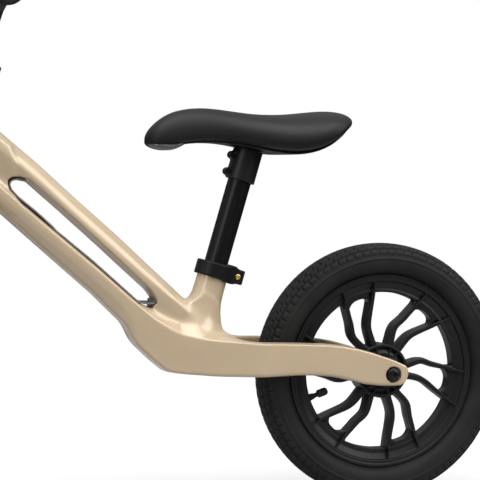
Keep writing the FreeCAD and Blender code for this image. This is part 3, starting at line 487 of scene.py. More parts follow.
def outward(points, faces):
    """the same shell with its faces turned round if its signed volume is negative"""
    points = np.asarray(points, float)
    tris = np.array([(f[0], f[k], f[k + 1]) for f in faces for k in range(1, len(f) - 1)])
    a, b, c = (points[tris[:, k]] for k in range(3))
    volume = np.einsum("ij,ij->i", a - points.mean(0), np.cross(b - points.mean(0),
                                                                c - points.mean(0))).sum()
    return points, [list(f)[::-1] for f in faces] if volume < 0 else faces


def beside(line, profile, middle=(0.0, 0.0, 0.0)):
    """a profile of (sideways in the middle plane, across the bike) set square to each point of
    a line (x, z) that lies in the middle plane"""
    line = np.asarray(line, float)
    way = np.gradient(line, axis=0)
    way /= np.linalg.norm(way, axis=1)[:, None]
    side = np.stack([-way[:, 1], way[:, 0]], axis=1)
    profile = np.asarray(profile, float)
    if profile.ndim == 2:
        profile = np.repeat(profile[None], len(line), axis=0)
    x = line[:, 0, None] + side[:, 0, None] * profile[:, :, 0]
    z = line[:, 1, None] + side[:, 1, None] * profile[:, :, 0]
    return np.stack([x, profile[:, :, 1], z], axis=2) + np.array(middle)


def surface(shader, cloud, dark, light, fine, gloss, depth, strength=1.0, raised=None):
    """a base colour that drifts from dark to light with a cloud, a roughness that goes from one
    value to another with a finer grain, and a relief of that grain or of another one"""
    feed(shader, "Base Color", cloud.ramp(0.3, 0.7).mix((*dark, 1), (*light, 1)))
    feed(shader, "Roughness", fine.ramp(0.3, 0.7, *gloss))
    feed(shader, "Normal", relief(raised or fine, depth, strength))


line = even_steps(TRIM_PATH, 1.6, 0.7)
profile = rounded([(-0.2, -TRIM_WIDE), (TRIM_THICK, -TRIM_WIDE + 0.6),
                   (TRIM_THICK, TRIM_WIDE - 0.6), (-0.2, TRIM_WIDE)], 0.8)
trim_look = piece("slot_trim_strip", *outward(*skin(beside(line, profile, REAR))))
dark_gloss, place, shader = material("dark_gloss_plastic", Roughness=0.22, Coat_Weight=0.4)
surface(shader, grain(place, 35), (0.14, 0.14, 0.143), (0.19, 0.19, 0.193),
        grain(place, 180), (0.17, 0.3), 0.00003, raised=grain(place, 300, 2))
give(dark_gloss, trim_look)
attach(trim_look, "frame")
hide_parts("slot_trim")

# ------------------------------------------------------------------ seat clamp
# A split band of forged alloy closes the top of the seat tube on the post.  Its ear points
# backwards and carries a socket screw and a brass barrel nut; the band is satin black.
BAND = (-16.7, -1.0)
BAND_EAR = 31.3
BAND_WALL = 4.0
EAR_HALF = 12.0
EAR_SCREW = 24.3
SCREW_HOLE = 2.5
SEAT_TUBE = 16.35


def leaned(points, foot, way):
    """points given as (ahead of an axis, across, along it), put where the leaning axis is"""
    points = np.asarray(points, float)
    across = np.array([way[2], 0.0, -way[0]])
    return (np.asarray(foot) + points[..., 0:1] * across + points[..., 1:2] * np.array([0, 1.0, 0])
            + points[..., 2:3] * way)


def band(x, y, z, inner, bottom, top, ear_end, hole_at):
    """distance to a clamp: a ring and an ear with rounded edges, less bore, slit and screw"""
    round_axis = np.hypot(x, y)
    middle, half = (bottom + top) / 2, (top - bottom) / 2
    ring = soft_max(round_axis - inner - BAND_WALL, np.abs(z - middle) - half, 1.6)
    ear_x = np.maximum(-x, x - ear_end)
    ear = soft_max(soft_max(ear_x, np.abs(y) - EAR_HALF, 2.5), np.abs(z - middle) - half, 1.6)
    whole = soft_min(ring, ear, 9)
    whole = soft_max(whole, inner - round_axis, 0.7)
    whole = soft_max(whole, -np.maximum(np.abs(y) - 1.25, -x), 0.6)
    hole = np.hypot(x - hole_at, z - middle)
    return soft_max(whole, SCREW_HOLE - hole, 0.4)


points, quads = net(lambda x, y, z: band(x, y, z, SEAT_TUBE, *BAND, BAND_EAR, EAR_SCREW),
                    (-22.5, -22.5, BAND[0] - 2), (BAND_EAR + 2, 22.5, BAND[1] + 2), 0.8)
clamp_look = piece("seat_clamp_band", leaned(points, *SEAT_AXIS), quads)
satin_black, place, shader = material("satin_black_alloy", Metallic=0.4, Roughness=0.42,
                                      Specular_IOR_Level=0.3)
speck = grain(place, 900, 2)
feed(shader, "Base Color", grain(place, 40).ramp(0.35, 0.65).mix((0.0075, 0.0075, 0.0078, 1),
                                                                (0.012, 0.012, 0.0125, 1)))
feed(shader, "Roughness", speck.ramp(0.3, 0.7, 0.34, 0.46))
feed(shader, "Normal", relief(speck, 0.00003, 0.6))
give(satin_black, clamp_look)
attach(clamp_look, "frame")
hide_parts("seat_clamp")

# ------------------------------------------------------------------ seat post
# A drawn alloy tube, anodised satin black.  Height marks are stamped down its front, and a
# plastic plug closes its foot.
POST_FOOT, POST_TOP = -95.0, 123.8
POST_IN, POST_OUT = 10.9, 12.68


def whole_turn(count):
    """that many even angles round a circle"""
    return np.linspace(0, 2 * math.pi, count, endpoint=False)


def ringed(profile, count):
    """a closed outline of (radius, along) turned once round its axis: rings of points"""
    turn = whole_turn(count)[:, None]
    radius, along = np.asarray(profile, float).T
    return np.stack([radius * np.cos(turn), radius * np.sin(turn),
                     np.broadcast_to(along, (count, len(along)))], axis=2)


def spun(profile, count):
    """the solid of a closed outline (radius, along), every point at its own radius"""
    return outward(*skin(ringed(profile, count), looped=True))


rows = [(POST_IN, POST_FOOT), (POST_OUT, POST_FOOT)]
rows += [(POST_OUT, level) for level in np.arange(-90, POST_TOP - 2, 8)]
rows += [(POST_OUT, POST_TOP), (POST_IN, POST_TOP)]
post_tube = rounded(rows, 0.7, 2)
points, faces = spun(post_tube, 72)
post_look = piece("seat_post_tube", leaned(points, *SEAT_AXIS), faces)
anodised, place, shader = material("black_anodised_tube", Metallic=0.7, Roughness=0.32)
from_foot = place.make("VectorMath", {"operation": "SUBTRACT"},
                       {0: place, 1: tuple(SEAT_FOOT * MM)})
height = place.make("VectorMath", {"operation": "DOT_PRODUCT"},
                    {0: from_foot, 1: tuple(SEAT_WAY)}, 1)
ahead = place.make("VectorMath", {"operation": "DOT_PRODUCT"},
                   {0: from_foot, 1: (SEAT_WAY[2], 0.0, -SEAT_WAY[0])}, 1)
across = place.make("SeparateXYZ", None, {0: place}, 1)
drawn = place.make("TexNoise", None, {"Vector": place.make(
    "CombineXYZ", None, {0: ahead, 1: across, 2: height * 0.03}), "Scale": 1400.0,
    "Detail": 3.0})
MARK_PITCH = 0.0095
mark = height.sum("FRACT", height * (1 / MARK_PITCH))
stroke = mark.sum("LESS_THAN", mark, 0.62)
front = ahead.sum("LESS_THAN", ahead, -0.0112)
marked = height.sum("LESS_THAN", height, 0.086) * height.sum("GREATER_THAN", height, 0.019)
narrow = across.sum("LESS_THAN", across.sum("ABSOLUTE", across), 0.0035)
dash = stroke * front * marked * narrow
base = drawn.ramp(0.3, 0.7).mix((0.011, 0.011, 0.012, 1), (0.019, 0.019, 0.02, 1))
feed(shader, "Base Color", dash.mix(base, (0.001, 0.001, 0.001, 1)))
feed(shader, "Roughness", drawn.ramp(0.3, 0.7, 0.27, 0.38) + dash * 0.3)
feed(shader, "Normal", relief(drawn * 0.2 - dash, 0.0003, 0.6))
give(anodised, post_look)
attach(post_look, "seat")
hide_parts("seat_post")

# ------------------------------------------------------------------ saddle
# One moulded pad: an integral skin of fine-grained black vinyl over soft foam, wide behind
# and narrow in front, dipped in the middle.  It is glued to a hard plastic shell whose
# collar takes the post.  A grey glossy bumper shows under the nose.
PAD = np.array([
    # along, half width, top, widest level, bottom
    (-265.6, 0.0, 253.4, 252.2, 251.2), (-264.6, 6.4, 258.4, 252.0, 249.0),
    (-261.0, 12.6, 264.4, 252.0, 248.0), (-254.5, 17.6, 271.2, 252.6, 247.4),
    (-246.0, 20.8, 277.6, 253.8, 247.4), (-235.0, 23.4, 283.0, 256.0, 248.6),
    (-222.0, 25.2, 286.2, 258.4, 250.4), (-206.0, 27.0, 287.6, 260.0, 251.4),
    (-188.0, 29.8, 286.6, 259.8, 251.0), (-170.0, 34.4, 284.4, 257.8, 248.8),
    (-152.0, 41.0, 282.2, 254.6, 245.4), (-134.0, 49.4, 281.2, 251.4, 241.6),
    (-116.0, 58.0, 281.4, 249.8, 239.2), (-100.1, 64.8, 282.6, 250.8, 240.0),
    (-86.1, 68.6, 284.0, 254.6, 243.8), (-73.9, 69.4, 285.0, 260.0, 249.8),
    (-64.1, 66.2, 285.0, 265.2, 256.6), (-56.2, 59.4, 283.8, 269.4, 262.6),
    (-50.2, 48.6, 281.2, 272.0, 267.2), (-46.6, 34.6, 278.2, 273.2, 270.6),
    (-44.9, 18.6, 276.0, 273.8, 272.6), (-44.4, 0.0, 275.2, 274.0, 273.2)])


def drawn_through(table, count):
    """how far along a cubic curve through the table's rows each of `count` even steps is, and
    the rows there; a length is measured on the first three columns"""
    table = np.asarray(table, float)
    reach = np.concatenate([[0], np.cumsum(np.linalg.norm(np.diff(table[:, :3], axis=0),
                                                          axis=1))])
    slope = np.gradient(table, reach, axis=0)
    at = np.linspace(0, reach[-1], count)
    k = np.clip(np.searchsorted(reach, at) - 1, 0, len(table) - 2)
    gap = (reach[k + 1] - reach[k])[:, None]
    t = ((at - reach[k]) / gap[:, 0])[:, None]
    return at, (table[k] * (2 * t ** 3 - 3 * t ** 2 + 1) +
                table[k + 1] * (3 * t ** 2 - 2 * t ** 3) +
                slope[k] * gap * (t ** 3 - 2 * t ** 2 + t) +
                slope[k + 1] * gap * (t ** 3 - t ** 2))


def power(value, exponent):
    """a value raised to a power, its sign kept"""
    return np.sign(value) * np.abs(value) ** exponent


def hull(table, count, around, sides, rises):
    """a shell through the table's rows: each cross section has an upper and a lower half, wide
    as a power of the cosine of the angle round it and high as a power of the sine"""
    along, half, top, level, bottom = drawn_through(table, count)[1].T[:, :, None]
    turn = whole_turn(around)[None, :]
    sine, cosine = np.sin(turn), np.cos(turn)
    across = np.where(sine >= 0, *(power(cosine, side) for side in sides)) * np.maximum(half, 0)
    upper = level + (top - level) * np.abs(sine) ** rises[0]
    lower = level - (level - bottom) * np.abs(sine) ** rises[1]
    height = np.where(sine >= 0, upper, lower)
    return outward(*skin(np.stack([along + 0 * across, across, height], axis=2) + REAR))


saddle_look = piece("saddle_pad_skin", *hull(PAD, 150, 96, (0.86, 0.62), (0.92, 0.8)))
cover, place, shader = material("black_vinyl", Roughness=0.44, Specular_IOR_Level=0.28)
pebble = place.make("TexVoronoi", {"feature": "SMOOTH_F1"},
                    {"Vector": place, "Scale": 950.0, "Smoothness": 0.6}, 0)
fine = grain(place, 1500, 3)
wear = grain(place, 14, 4)
feed(shader, "Base Color", wear.ramp(0.3, 0.7).mix((0.0045, 0.0045, 0.0047, 1),
                                                  (0.0078, 0.0077, 0.0076, 1)))
feed(shader, "Roughness", wear.ramp(0.3, 0.7, 0.40, 0.50) + fine * 0.08)
feed(shader, "Normal", relief(pebble * 0.7 + fine * 0.5, 0.00016, 0.8))
give(cover, saddle_look)
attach(saddle_look, "seat")
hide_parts("saddle_pad")

# The shell under the pad is a tray of hard plastic that ends 3 mm short of the pad's edge.
# Its collar clamps on the post with two screwed lugs on the front side.
along, half, top, level, bottom = drawn_through(PAD[1:-1], 120)[1].T[:, :, None]
turn = whole_turn(64)[None, :]
reach = np.maximum(half * 0.84 - 4.0, 0.6)
across = power(np.cos(turn), 0.35) * reach
drop = power(np.sin(turn), 0.35)
height = bottom + 0.4 + drop * 1.4
tray_shell = outward(*skin(np.stack([along + 0 * across, across, height], axis=2) + REAR))


def collar(x, y, z):
    """distance to the post's socket: a rounded sleeve with two screwed lugs on its front"""
    around = np.hypot(x, y)
    whole = soft_max(around - 16.0, np.abs(z - 108.5) - 17.5, 0.8)
    for level in (97.0, 115.4):
        lug = np.abs(np.hypot(x + 16.2, z - level) - 1.2) - 3.0
        lug = soft_max(lug, np.abs(y) - 6.0, 1.4)
        whole = soft_min(whole, lug, 2.2)
    seam = np.maximum(np.abs(y) - 0.7, x + 12)
    whole = soft_max(whole, -np.maximum(seam, z - 124), 0.4)
    return np.maximum(whole, 12.72 - around)


points, quads = net(collar, (-23, -18, 89), (40, 18, 129), 0.75)
socket = (leaned(points, *SEAT_AXIS), quads.tolist())
base_look = piece("saddle_tray_and_collar", *gather([tray_shell, socket]))
moulded, place, shader = material("moulded_black_plastic", Roughness=0.38,
                                  Specular_IOR_Level=0.35)
surface(shader, grain(place, 30), (0.0065, 0.0065, 0.0066), (0.011, 0.011, 0.0112),
        grain(place, 1300, 2), (0.32, 0.44), 0.00005, 0.7)
give(moulded, base_look)
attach(base_look, "seat")
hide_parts("saddle_base")

# The nose bumper is a small boat-shaped cap of grey glossy plastic, snapped over the tray.
NOSE = [
    (-264.6, 1.5, 252.2, 251.4, 250.6), (-262.4, 8.5, 252.2, 249.4, 247.4),
    (-256.0, 14.6, 252.0, 247.6, 244.6), (-247.0, 18.2, 251.6, 246.2, 242.8),
    (-238.0, 19.0, 251.6, 246.8, 243.2), (-230.0, 17.6, 252.0, 249.0, 246.2),
    (-224.0, 13.0, 252.6, 251.0, 249.6), (-220.5, 4.0, 252.6, 252.2, 251.8)]
nose_look = piece("saddle_nose_bumper", *hull(NOSE, 70, 48, (0.6, 0.6), (0.7, 0.55)))
grey_gloss, place, shader = material("grey_gloss_plastic", Roughness=0.25, Coat_Weight=0.5)
surface(shader, grain(place, 60), (0.075, 0.076, 0.08), (0.11, 0.111, 0.116),
        grain(place, 240), (0.2, 0.34), 0.00004, raised=grain(place, 500, 2))
give(grey_gloss, nose_look)
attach(nose_look, "seat")
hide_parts("nose_trim")

# ------------------------------------------------------------------ tyres
# Each wheel has a 12 inch rubber tyre on a tube.  The tread is rows of oblique blocks with
# narrow grooves between them, the sidewall is smooth with one thin raised line, and the bead
# sits inside the rim's lip.
TREAD_PITCHES = 84
TREAD_DEPTH = 1.9
TYRE_OUTLINE = [(0, 141), (6.5, 140.75), (12.6, 139.1), (17.2, 135.6), (19.8, 130.6),
                (20.9, 125.0), (20.8, 119.0), (19.3, 113.6), (16.4, 109.8), (13.5, 108.2)]
BEAD = [(12.6, 107.9), (10.5, 107.2), (10.3, 104.5), (10.0, 101.9), (8.6, 101.7), (7.4, 101.9),
        (7.4, 104.5)]
HOLLOW = [(8.4, 109.4), (12.0, 111.4), (15.8, 114.6), (17.4, 120.5), (17.2, 126.5),
          (15.4, 131.0), (11.4, 134.8), (6.0, 136.7), (0.0, 137.0)]


def about_axle(radius, across, turn):
    """points at a radius and an angle round a wheel's axis, and so far across it"""
    return np.stack([radius * np.cos(turn), across + 0 * turn, radius * np.sin(turn)], axis=-1)


def tyre_shell():
    """rings round the wheel; each ring follows the outline from one bead over the tread to the
    other and back inside, sunk by the depth of the grooves where a row or cross groove runs"""
    fine, line = drawn_through(TYRE_OUTLINE, 2000)
    marks = [0.0, 2.6, 4.5, 5.1, 5.9, 6.5, 8.8, 10.9, 11.6, 12.4, 13.0, 15.3, 17.6, 18.3, 19.0,
             19.6, 22.2, 24.6, 25.6, 26.8, 28.2, 29.5, 29.9, 30.4, 30.8, 33, 36, 39, 42, 45.5]
    marks = np.array([m for m in marks if m < fine[-1] - 1] + [fine[-1]])
    half_y = np.interp(marks, fine, line[:, 0])
    half_r = np.interp(marks, fine, line[:, 1])
    way = np.stack([np.gradient(half_y), np.gradient(half_r)])
    way /= np.hypot(*way)
    normal_y, normal_r = -way[1], way[0]
    edge = 0.7
    phases = np.array([-0.075, -0.02, 0.02, 0.075, 0.2, 0.425, 0.48, 0.52, 0.575, 0.8])
    turn = (np.arange(TREAD_PITCHES)[:, None] + phases[None, :]).reshape(-1, 1)
    across_rows = [(0.0, 5.1, 0.0), (5.9, 11.6, 0.5), (12.4, 18.3, 0.0), (19.0, 24.6, 0.5)]
    sunk = np.zeros((len(turn), len(marks)))
    for start, end, phase in across_rows:
        inside = (marks >= start) & (marks <= end)
        local = (turn - phase + 0.5) % 1.0 - 0.5
        cross = np.clip((0.076 - np.abs(local)) / 0.055, 0, 1)
        sunk = np.maximum(sunk, np.where(inside[None, :], cross, 0))
    groove = np.zeros(len(marks))
    for middle in (5.5, 12.0, 18.65):
        groove = np.maximum(groove, np.clip((edge + 0.33 - np.abs(marks - middle)) / 0.6, 0, 1))
    fade = np.interp(marks, [0, 18, 24.6, 25.6, 26.8], [1, 1, 0.75, 0.5, 0])
    sunk = np.maximum(sunk, groove[None, :]) * fade
    shoulder = np.interp(marks, [24.6, 25.6, 28.2], [0.0, 0.7, 0.55])
    shoulder *= np.interp(marks, [28.2, 33], [1, 0])
    ridge = np.interp(marks, [29.5, 29.9, 30.4, 30.8], [0, 0.55, 0.55, 0])
    rise = ridge - sunk * TREAD_DEPTH - shoulder
    lean = 0.030 * np.interp(marks, [0, 5.5, 12, 18.6, 30], [0, 0.35, 0.75, 1.5, 1.9])
    half = {}
    for side in (1, -1):
        twist = 2 * math.pi * turn / TREAD_PITCHES + lean[None, :] * np.clip(
            np.interp(marks, [26, 34], [1, 0]), 0, 1)
        twist = twist + (0 if side > 0 else math.pi / TREAD_PITCHES)
        half[side] = np.stack([half_r + normal_r * rise, side * (half_y + normal_y * rise),
                               twist], axis=2)
    seam = half[1][:, :1].copy()
    inner = BEAD + HOLLOW
    inside = np.array(inner + [(-y, r) for y, r in reversed(inner[:-1])])
    tail = np.stack([np.broadcast_to(inside[:, 1], (len(turn), len(inside))),
                     np.broadcast_to(inside[:, 0], (len(turn), len(inside))),
                     np.broadcast_to(2 * math.pi * turn / TREAD_PITCHES,
                                     (len(turn), len(inside)))], axis=2)
    left = half[-1][:, :0:-1].copy()
    blend_in = np.interp(marks[:0:-1], [0, 5.1], [0, 1])
    left[:, :, 2] -= (1 - blend_in) * math.pi / TREAD_PITCHES
    whole = np.concatenate([left, seam, half[1][:, 1:], tail], axis=1)
    radius, across, turn = whole[..., 0], whole[..., 1], whole[..., 2]
    return outward(*skin(about_axle(radius, across, turn), looped=True))


HUBS = {"rear": REAR, "front": FRONT}
tyre_points, tyre_faces = tyre_shell()
rubber, place, shader = material("tyre_rubber", Roughness=0.62, Specular_IOR_Level=0.25)
dust = grain(place, 26, 5)
fine = grain(place, 1600, 3)
feed(shader, "Base Color", dust.ramp(0.35, 0.7).mix((0.0075, 0.0075, 0.0076, 1),
                                                   (0.0155, 0.0152, 0.0148, 1)))
feed(shader, "Roughness", dust.ramp(0.3, 0.7, 0.52, 0.66) + fine * 0.06)
feed(shader, "Normal", relief(fine + grain(place, 240, 2) * 2.0, 0.00008, 0.8))
for side, hub_at in HUBS.items():
    tyre_look = piece(side + "_tyre_cover", tyre_points + hub_at, tyre_faces)
    give(rubber, tyre_look)
    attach(tyre_look, side + "_wheel")
    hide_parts(side + "_tyre")

# ------------------------------------------------------------------ wheels
# One moulding of glass-filled black nylon: a channelled rim, six pairs of swept spokes joined
# by a rounded web at the rim, thin ribs that run on across the channel, and a ribbed hub.
SPOKE_PAIRS = 6
LEAD_SPOKE = [(27, 7.5), (33, 8.6), (44, 10.6), (51, 10.0), (57, 6.6), (62, 3.9), (72, 1.4),
              (82, -0.7), (92, -2.0), (103, -3.3)]
TRAIL_SPOKE = [(27, -13.2), (33, -13.2), (42, -12.6), (50, -13.2), (57, -15.6), (64, -18.4),
               (73, -21.2), (83, -23.3), (92, -24.6), (103, -25.6)]
SPOKE_WIDE = [(27, 9.0), (40, 8.2), (55, 7.4), (70, 6.2), (88, 4.8)]
SPOKE_DEEP = [(27, 10.0), (50, 9.2), (70, 9.6), (88, 11.2)]


def swept(radius, degrees):
    """points (x, z) in the wheel's plane at those radii and angles"""
    turn = np.radians(degrees)
    return np.stack([radius * np.cos(turn), radius * np.sin(turn)], axis=1)


def spoke(course):
    """a blade along the swept line: its section is a rounded oblong, narrower at the front and
    back faces than in the middle"""
    radius = np.linspace(28.5, 89.0, 34)
    degrees = run(course, 2.4)(radius)
    line = swept(radius, degrees)
    wide = np.interp(radius, *np.array(SPOKE_WIDE).T)[:, None]
    deep = np.interp(radius, *np.array(SPOKE_DEEP).T)[:, None]
    section = rounded([(-0.5, 0), (-0.36, 1), (0.36, 1), (0.5, 0), (0.36, -1), (-0.36, -1)],
                      [0.12, 0.1, 0.1, 0.12, 0.1, 0.1], 2)
    rings = np.stack([section[None, :, 0] * wide, section[None, :, 1] * deep], axis=2)
    return skin(beside(line, rings))


def channel_rib(course):
    """a thin wall in line with a spoke, from the rim's inner ring to the step below its lip"""
    radius = np.linspace(85.0, 100.6, 8)
    line = swept(radius, run(course, 1.6)(radius))
    wall = rounded([(-1.0, -11.6), (-1.0, 11.6), (1.0, 11.6), (1.0, -11.6)], 0.5, 2)
    return skin(beside(line, wall))


def web(lead, trail):
    """the rounded bridge between a pair of spokes: radial sections whose inner edge follows a
    flattened U from one blade to the other"""
    at = np.linspace(-1, 1, 25)
    start, end = run(trail, 1.6), run(lead, 1.6)
    inner = 82.6 - 10.5 * np.abs(at) ** 3.2
    middle_low, middle_high = start(inner), end(inner)
    turn = np.radians((middle_low + middle_high) / 2 + (middle_high - middle_low) / 2 * at)
    wall = rounded([(0, -1), (1, -1), (1, 1), (0, 1)], 0.12, 2)
    radius = inner[:, None] + (88.4 - inner)[:, None] * wall[None, :, 0]
    return skin(about_axle(radius, 6.9 * wall[None, :, 1], turn[:, None]))


def wheel_ring(outline, count):
    """a closed outline of (across, radius) turned round the wheel's axis"""
    turn = whole_turn(count)[:, None]
    across, radius = np.asarray(outline, float).T
    return outward(*skin(about_axle(radius, across, turn), looped=True))


def mirrored(half):
    """an outline and its reflection across the middle plane"""
    return list(half) + [(-y, r) for y, r in reversed(half)]


def turned_about(shell, degrees):
    """the same shell turned round the wheel's axis"""
    points, faces = shell
    c, s = math.cos(math.radians(degrees)), math.sin(math.radians(degrees))
    x, y, z = points.T
    return np.stack([x * c - z * s, y, x * s + z * c], axis=1), faces


rim_outline = rounded(mirrored([
    (4.4, 98.6), (6.4, 101.6), (10.5, 101.6), (10.7, 106.9), (12.95, 106.9), (12.95, 103.6),
    (12.2, 103.0), (12.4, 99.6), (9.4, 98.6), (6.6, 91.8), (7.4, 88.6), (7.2, 86.8)]),
    0.7, 2)
hub_outline = rounded(mirrored([(12.0, 12.2), (27.0, 12.2), (27.0, 16.6), (13.0, 19.4),
                                (9.5, 25.8), (14.0, 26.4), (14.0, 29.8)]), 0.9, 2)
shells = [wheel_ring(rim_outline, 216), wheel_ring(hub_outline, 120)]
spokes = [outward(*blade(course)) for blade in (spoke, channel_rib)
          for course in (LEAD_SPOKE, TRAIL_SPOKE)]
spokes.append(outward(*web(LEAD_SPOKE, TRAIL_SPOKE)))
rib = rounded([(-0.9, -13.2), (-0.9, 13.2), (0.9, 13.2), (0.9, -13.2)], 0.4, 2)
for course in (LEAD_SPOKE, TRAIL_SPOKE):
    line = swept(np.linspace(15.5, 28.6, 5), np.full(5, course[0][1]))
    spokes.append(outward(*skin(beside(line, rib))))
for pair in range(SPOKE_PAIRS):
    shells += [turned_about(shell, 360 / SPOKE_PAIRS * pair) for shell in spokes]
wheel_points, wheel_faces = gather(shells)
nylon, place, shader = material("black_glass_nylon", Roughness=0.4, Specular_IOR_Level=0.3)
surface(shader, grain(place, 18), (0.0055, 0.0055, 0.0058), (0.0100, 0.0100, 0.0104),
        grain(place, 1100, 3), (0.33, 0.46), 0.00006, 0.8)
for side, hub_at in HUBS.items():
    wheel_look = piece(side + "_wheel_moulding", wheel_points + hub_at, wheel_faces)
    give(nylon, wheel_look)
    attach(wheel_look, side + "_wheel")
    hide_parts(side + "_rim")

# ------------------------------------------------------------------ valves
# Each inner tube has a short rubber-covered valve that comes through the rim, with a narrow
# threaded neck and a knurled plastic cap.
VALVE_ANGLE = math.radians(199)
VALVE_WAY = np.array([math.cos(VALVE_ANGLE), 0.0, math.sin(VALVE_ANGLE)])


def knurled(profile, count, teeth, height):
    """an outline turned round its axis, its widest part raised and lowered by a cosine"""
    rings = ringed(profile, count)
    radius = np.asarray(profile, float)[:, 0]
    wide = (radius > radius.max() - 0.35) * height
    turn = whole_turn(count)[:, None]
    grow = 1 + wide[None, :] * np.cos(teeth * turn) / np.maximum(radius, 1)[None, :]
    rings[..., 0] *= grow
    rings[..., 1] *= grow
    return outward(*skin(rings, looped=True))


stem = rounded([(0.05, 100.0), (4.2, 100.0), (4.2, 98.0), (3.8, 96.0), (3.85, 84.5), (3.1, 80.5),
                (2.5, 79.0), (2.5, 67.0), (0.05, 67.0)], 0.5, 2)
cap = rounded([(2.62, 75.4), (4.0, 75.4), (4.15, 73.5), (4.15, 66.6), (3.5, 64.4), (1.9, 63.6),
               (0.05, 63.6), (0.05, 66.6), (2.62, 66.6)], 0.8, 3)
for side, hub_at in HUBS.items():
    points, faces = spun(stem, 40)
    valve_look = piece(side + "_valve_stem", leaned(points, hub_at, VALVE_WAY), faces)
    give(rubber, valve_look)
    points, faces = knurled(cap, 96, 24, 0.16)
    cap_look = piece(side + "_valve_dust_cap", leaned(points, hub_at, VALVE_WAY), faces)
    give(moulded, cap_look)
    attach(valve_look, side + "_wheel")
    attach(cap_look, side + "_wheel")
    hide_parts(side + "_valve")
    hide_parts(side + "_valve_cap")
    give(rubber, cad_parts[side + "_inner_tube"])

# ------------------------------------------------------------------ bearings and axles
# Turned steel: the races, balls, shields, sleeve and axle of each hub, and the headset's
# races and balls.  The alloy spacers between hub and arms are black.
steel, place, shader = material("turned_steel", Metallic=1.0, Roughness=0.28)
stretch = place.make("Mapping", None, {"Vector": place, "Scale": (1.0, 14.0, 1.0)})
lathe = grain(stretch, 420, 3)
surface(shader, lathe, (0.40, 0.40, 0.41), (0.58, 0.58, 0.59), lathe, (0.2, 0.36), 0.00002, 0.5)
for side in ("rear", "front"):
    for item in ("bearing_outer_races", "bearing_inner_races", "bearing_balls",
                 "bearing_shields", "hub_sleeve", "axle"):
        give(steel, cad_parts[side + "_" + item])
    give(satin_black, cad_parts[side + "_hub_spacers"])
for item in ("headset_outer_races", "headset_inner_races", "headset_balls", "crown_race",
             "steerer"):
    give(steel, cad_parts[item])
give(satin_black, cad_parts["compression_ring"])
give(moulded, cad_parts["post_plug"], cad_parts["bar_end_plugs"])

# ------------------------------------------------------------------ bolts
# Button-head socket screws in black oxide steel hold the axles and the two clamps.  The
# clamps' screws end in brass barrel nuts.
BOLT_AT = 45.3
black_steel, place, shader = material("black_oxide_steel", Metallic=0.8, Roughness=0.34)
oxide = grain(place, 500, 4)
surface(shader, oxide, (0.012, 0.012, 0.013), (0.03, 0.03, 0.031), oxide, (0.26, 0.42),
        0.00002, 0.6)
brass, place, shader = material("brass", Metallic=1.0, Roughness=0.25)
lathe = grain(place, 700, 3)
surface(shader, lathe, (0.62, 0.40, 0.13), (0.78, 0.55, 0.22), lathe, (0.18, 0.34), 0.00002, 0.5)


def socket_screw(head, rise, hexagon, shank, length):
    """rings about +Y from the shank's end to the floor of the socket: a shank, a flat under a
    domed head, and a socket whose radius is its flat over the cosine of the angle to it"""
    turn = whole_turn(72)
    flat = hexagon / np.cos((turn + math.pi / 6) % (math.pi / 3) - math.pi / 6)
    even = np.ones(len(turn))
    dome = [(head * math.cos(a), rise * (0.32 + 0.68 * math.sin(a)))
            for a in np.radians([0, 14, 28, 42, 56])]
    rows = [(shank * 0.82, -length), (shank, -length + 0.6), (shank, -0.1), (head * 0.96, 0.0),
            (head, rise * 0.1)] + dome
    rings = [(radius * even, height * even) for radius, height in rows if radius > hexagon + 0.9]
    rings += [(flat + 0.45, rise * even), (flat + 0.1, (rise - 0.15) * even),
              (flat, (rise - 0.4) * even), (flat * 0.99, (rise - 2.6) * even),
              (flat * 0.9, (rise - 2.7) * even)]
    return outward(*skin([about_axle(radius, height, turn) for radius, height in rings]))


for side, hub_at, holder in (("rear", REAR, "frame"), ("front", FRONT, "fork")):
    points, faces = socket_screw(7.2, 3.4, 2.45, 3.9, 24.0)
    right = (points + np.array([0, BOLT_AT - 0.2, 0]) + hub_at, faces)
    left = (points * np.array([1, -1, 1]) - np.array([0, BOLT_AT - 0.2, 0]) + hub_at, faces)
    bolt_look = piece(side + "_axle_screws", *gather([outward(*left), right]))
    give(black_steel, bolt_look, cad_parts[side + "_axle_washers"])
    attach(bolt_look, holder)
    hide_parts(side + "_axle_bolts")
give(black_steel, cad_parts["saddle_screws"])

EAR_AT = {"seat": (EAR_SCREW, -8.85), "bar": (22.3, 353.7)}
for clamp, foot, way, holder in (("seat", SEAT_FOOT, SEAT_WAY, "frame"),
                                 ("bar", STEER_FOOT, STEER_WAY, "fork")):
    ahead, along = EAR_AT[clamp]
    points, faces = socket_screw(4.3, 3.0, 1.6, 2.45, 19.0)
    points = points + np.array([ahead, 9.2, along])
    screw_look = piece(clamp + "_clamp_screw", leaned(points, foot, way), faces)
    give(black_steel, screw_look)
    nut = rounded([(0.05, -13.0), (0.7, -13.0), (0.9, -12.6), (1.9, -12.9), (2.9, -12.3),
                   (3.3, -11.6), (3.3, -8.0), (0.05, -8.0)], 0.35, 2)
    points, faces = spun(nut, 48)
    points = points[:, [0, 2, 1]] + np.array([ahead, 0, along])
    nut_look = piece(clamp + "_clamp_barrel_nut", leaned(points, foot, way),
                     [face[::-1] for face in faces])
    give(brass, nut_look)
    for look, word, finish in ((screw_look, "_clamp_bolt", "black_steel"),
                               (nut_look, "_clamp_nut", "brass")):
        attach(look, holder)
        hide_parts(clamp + word)

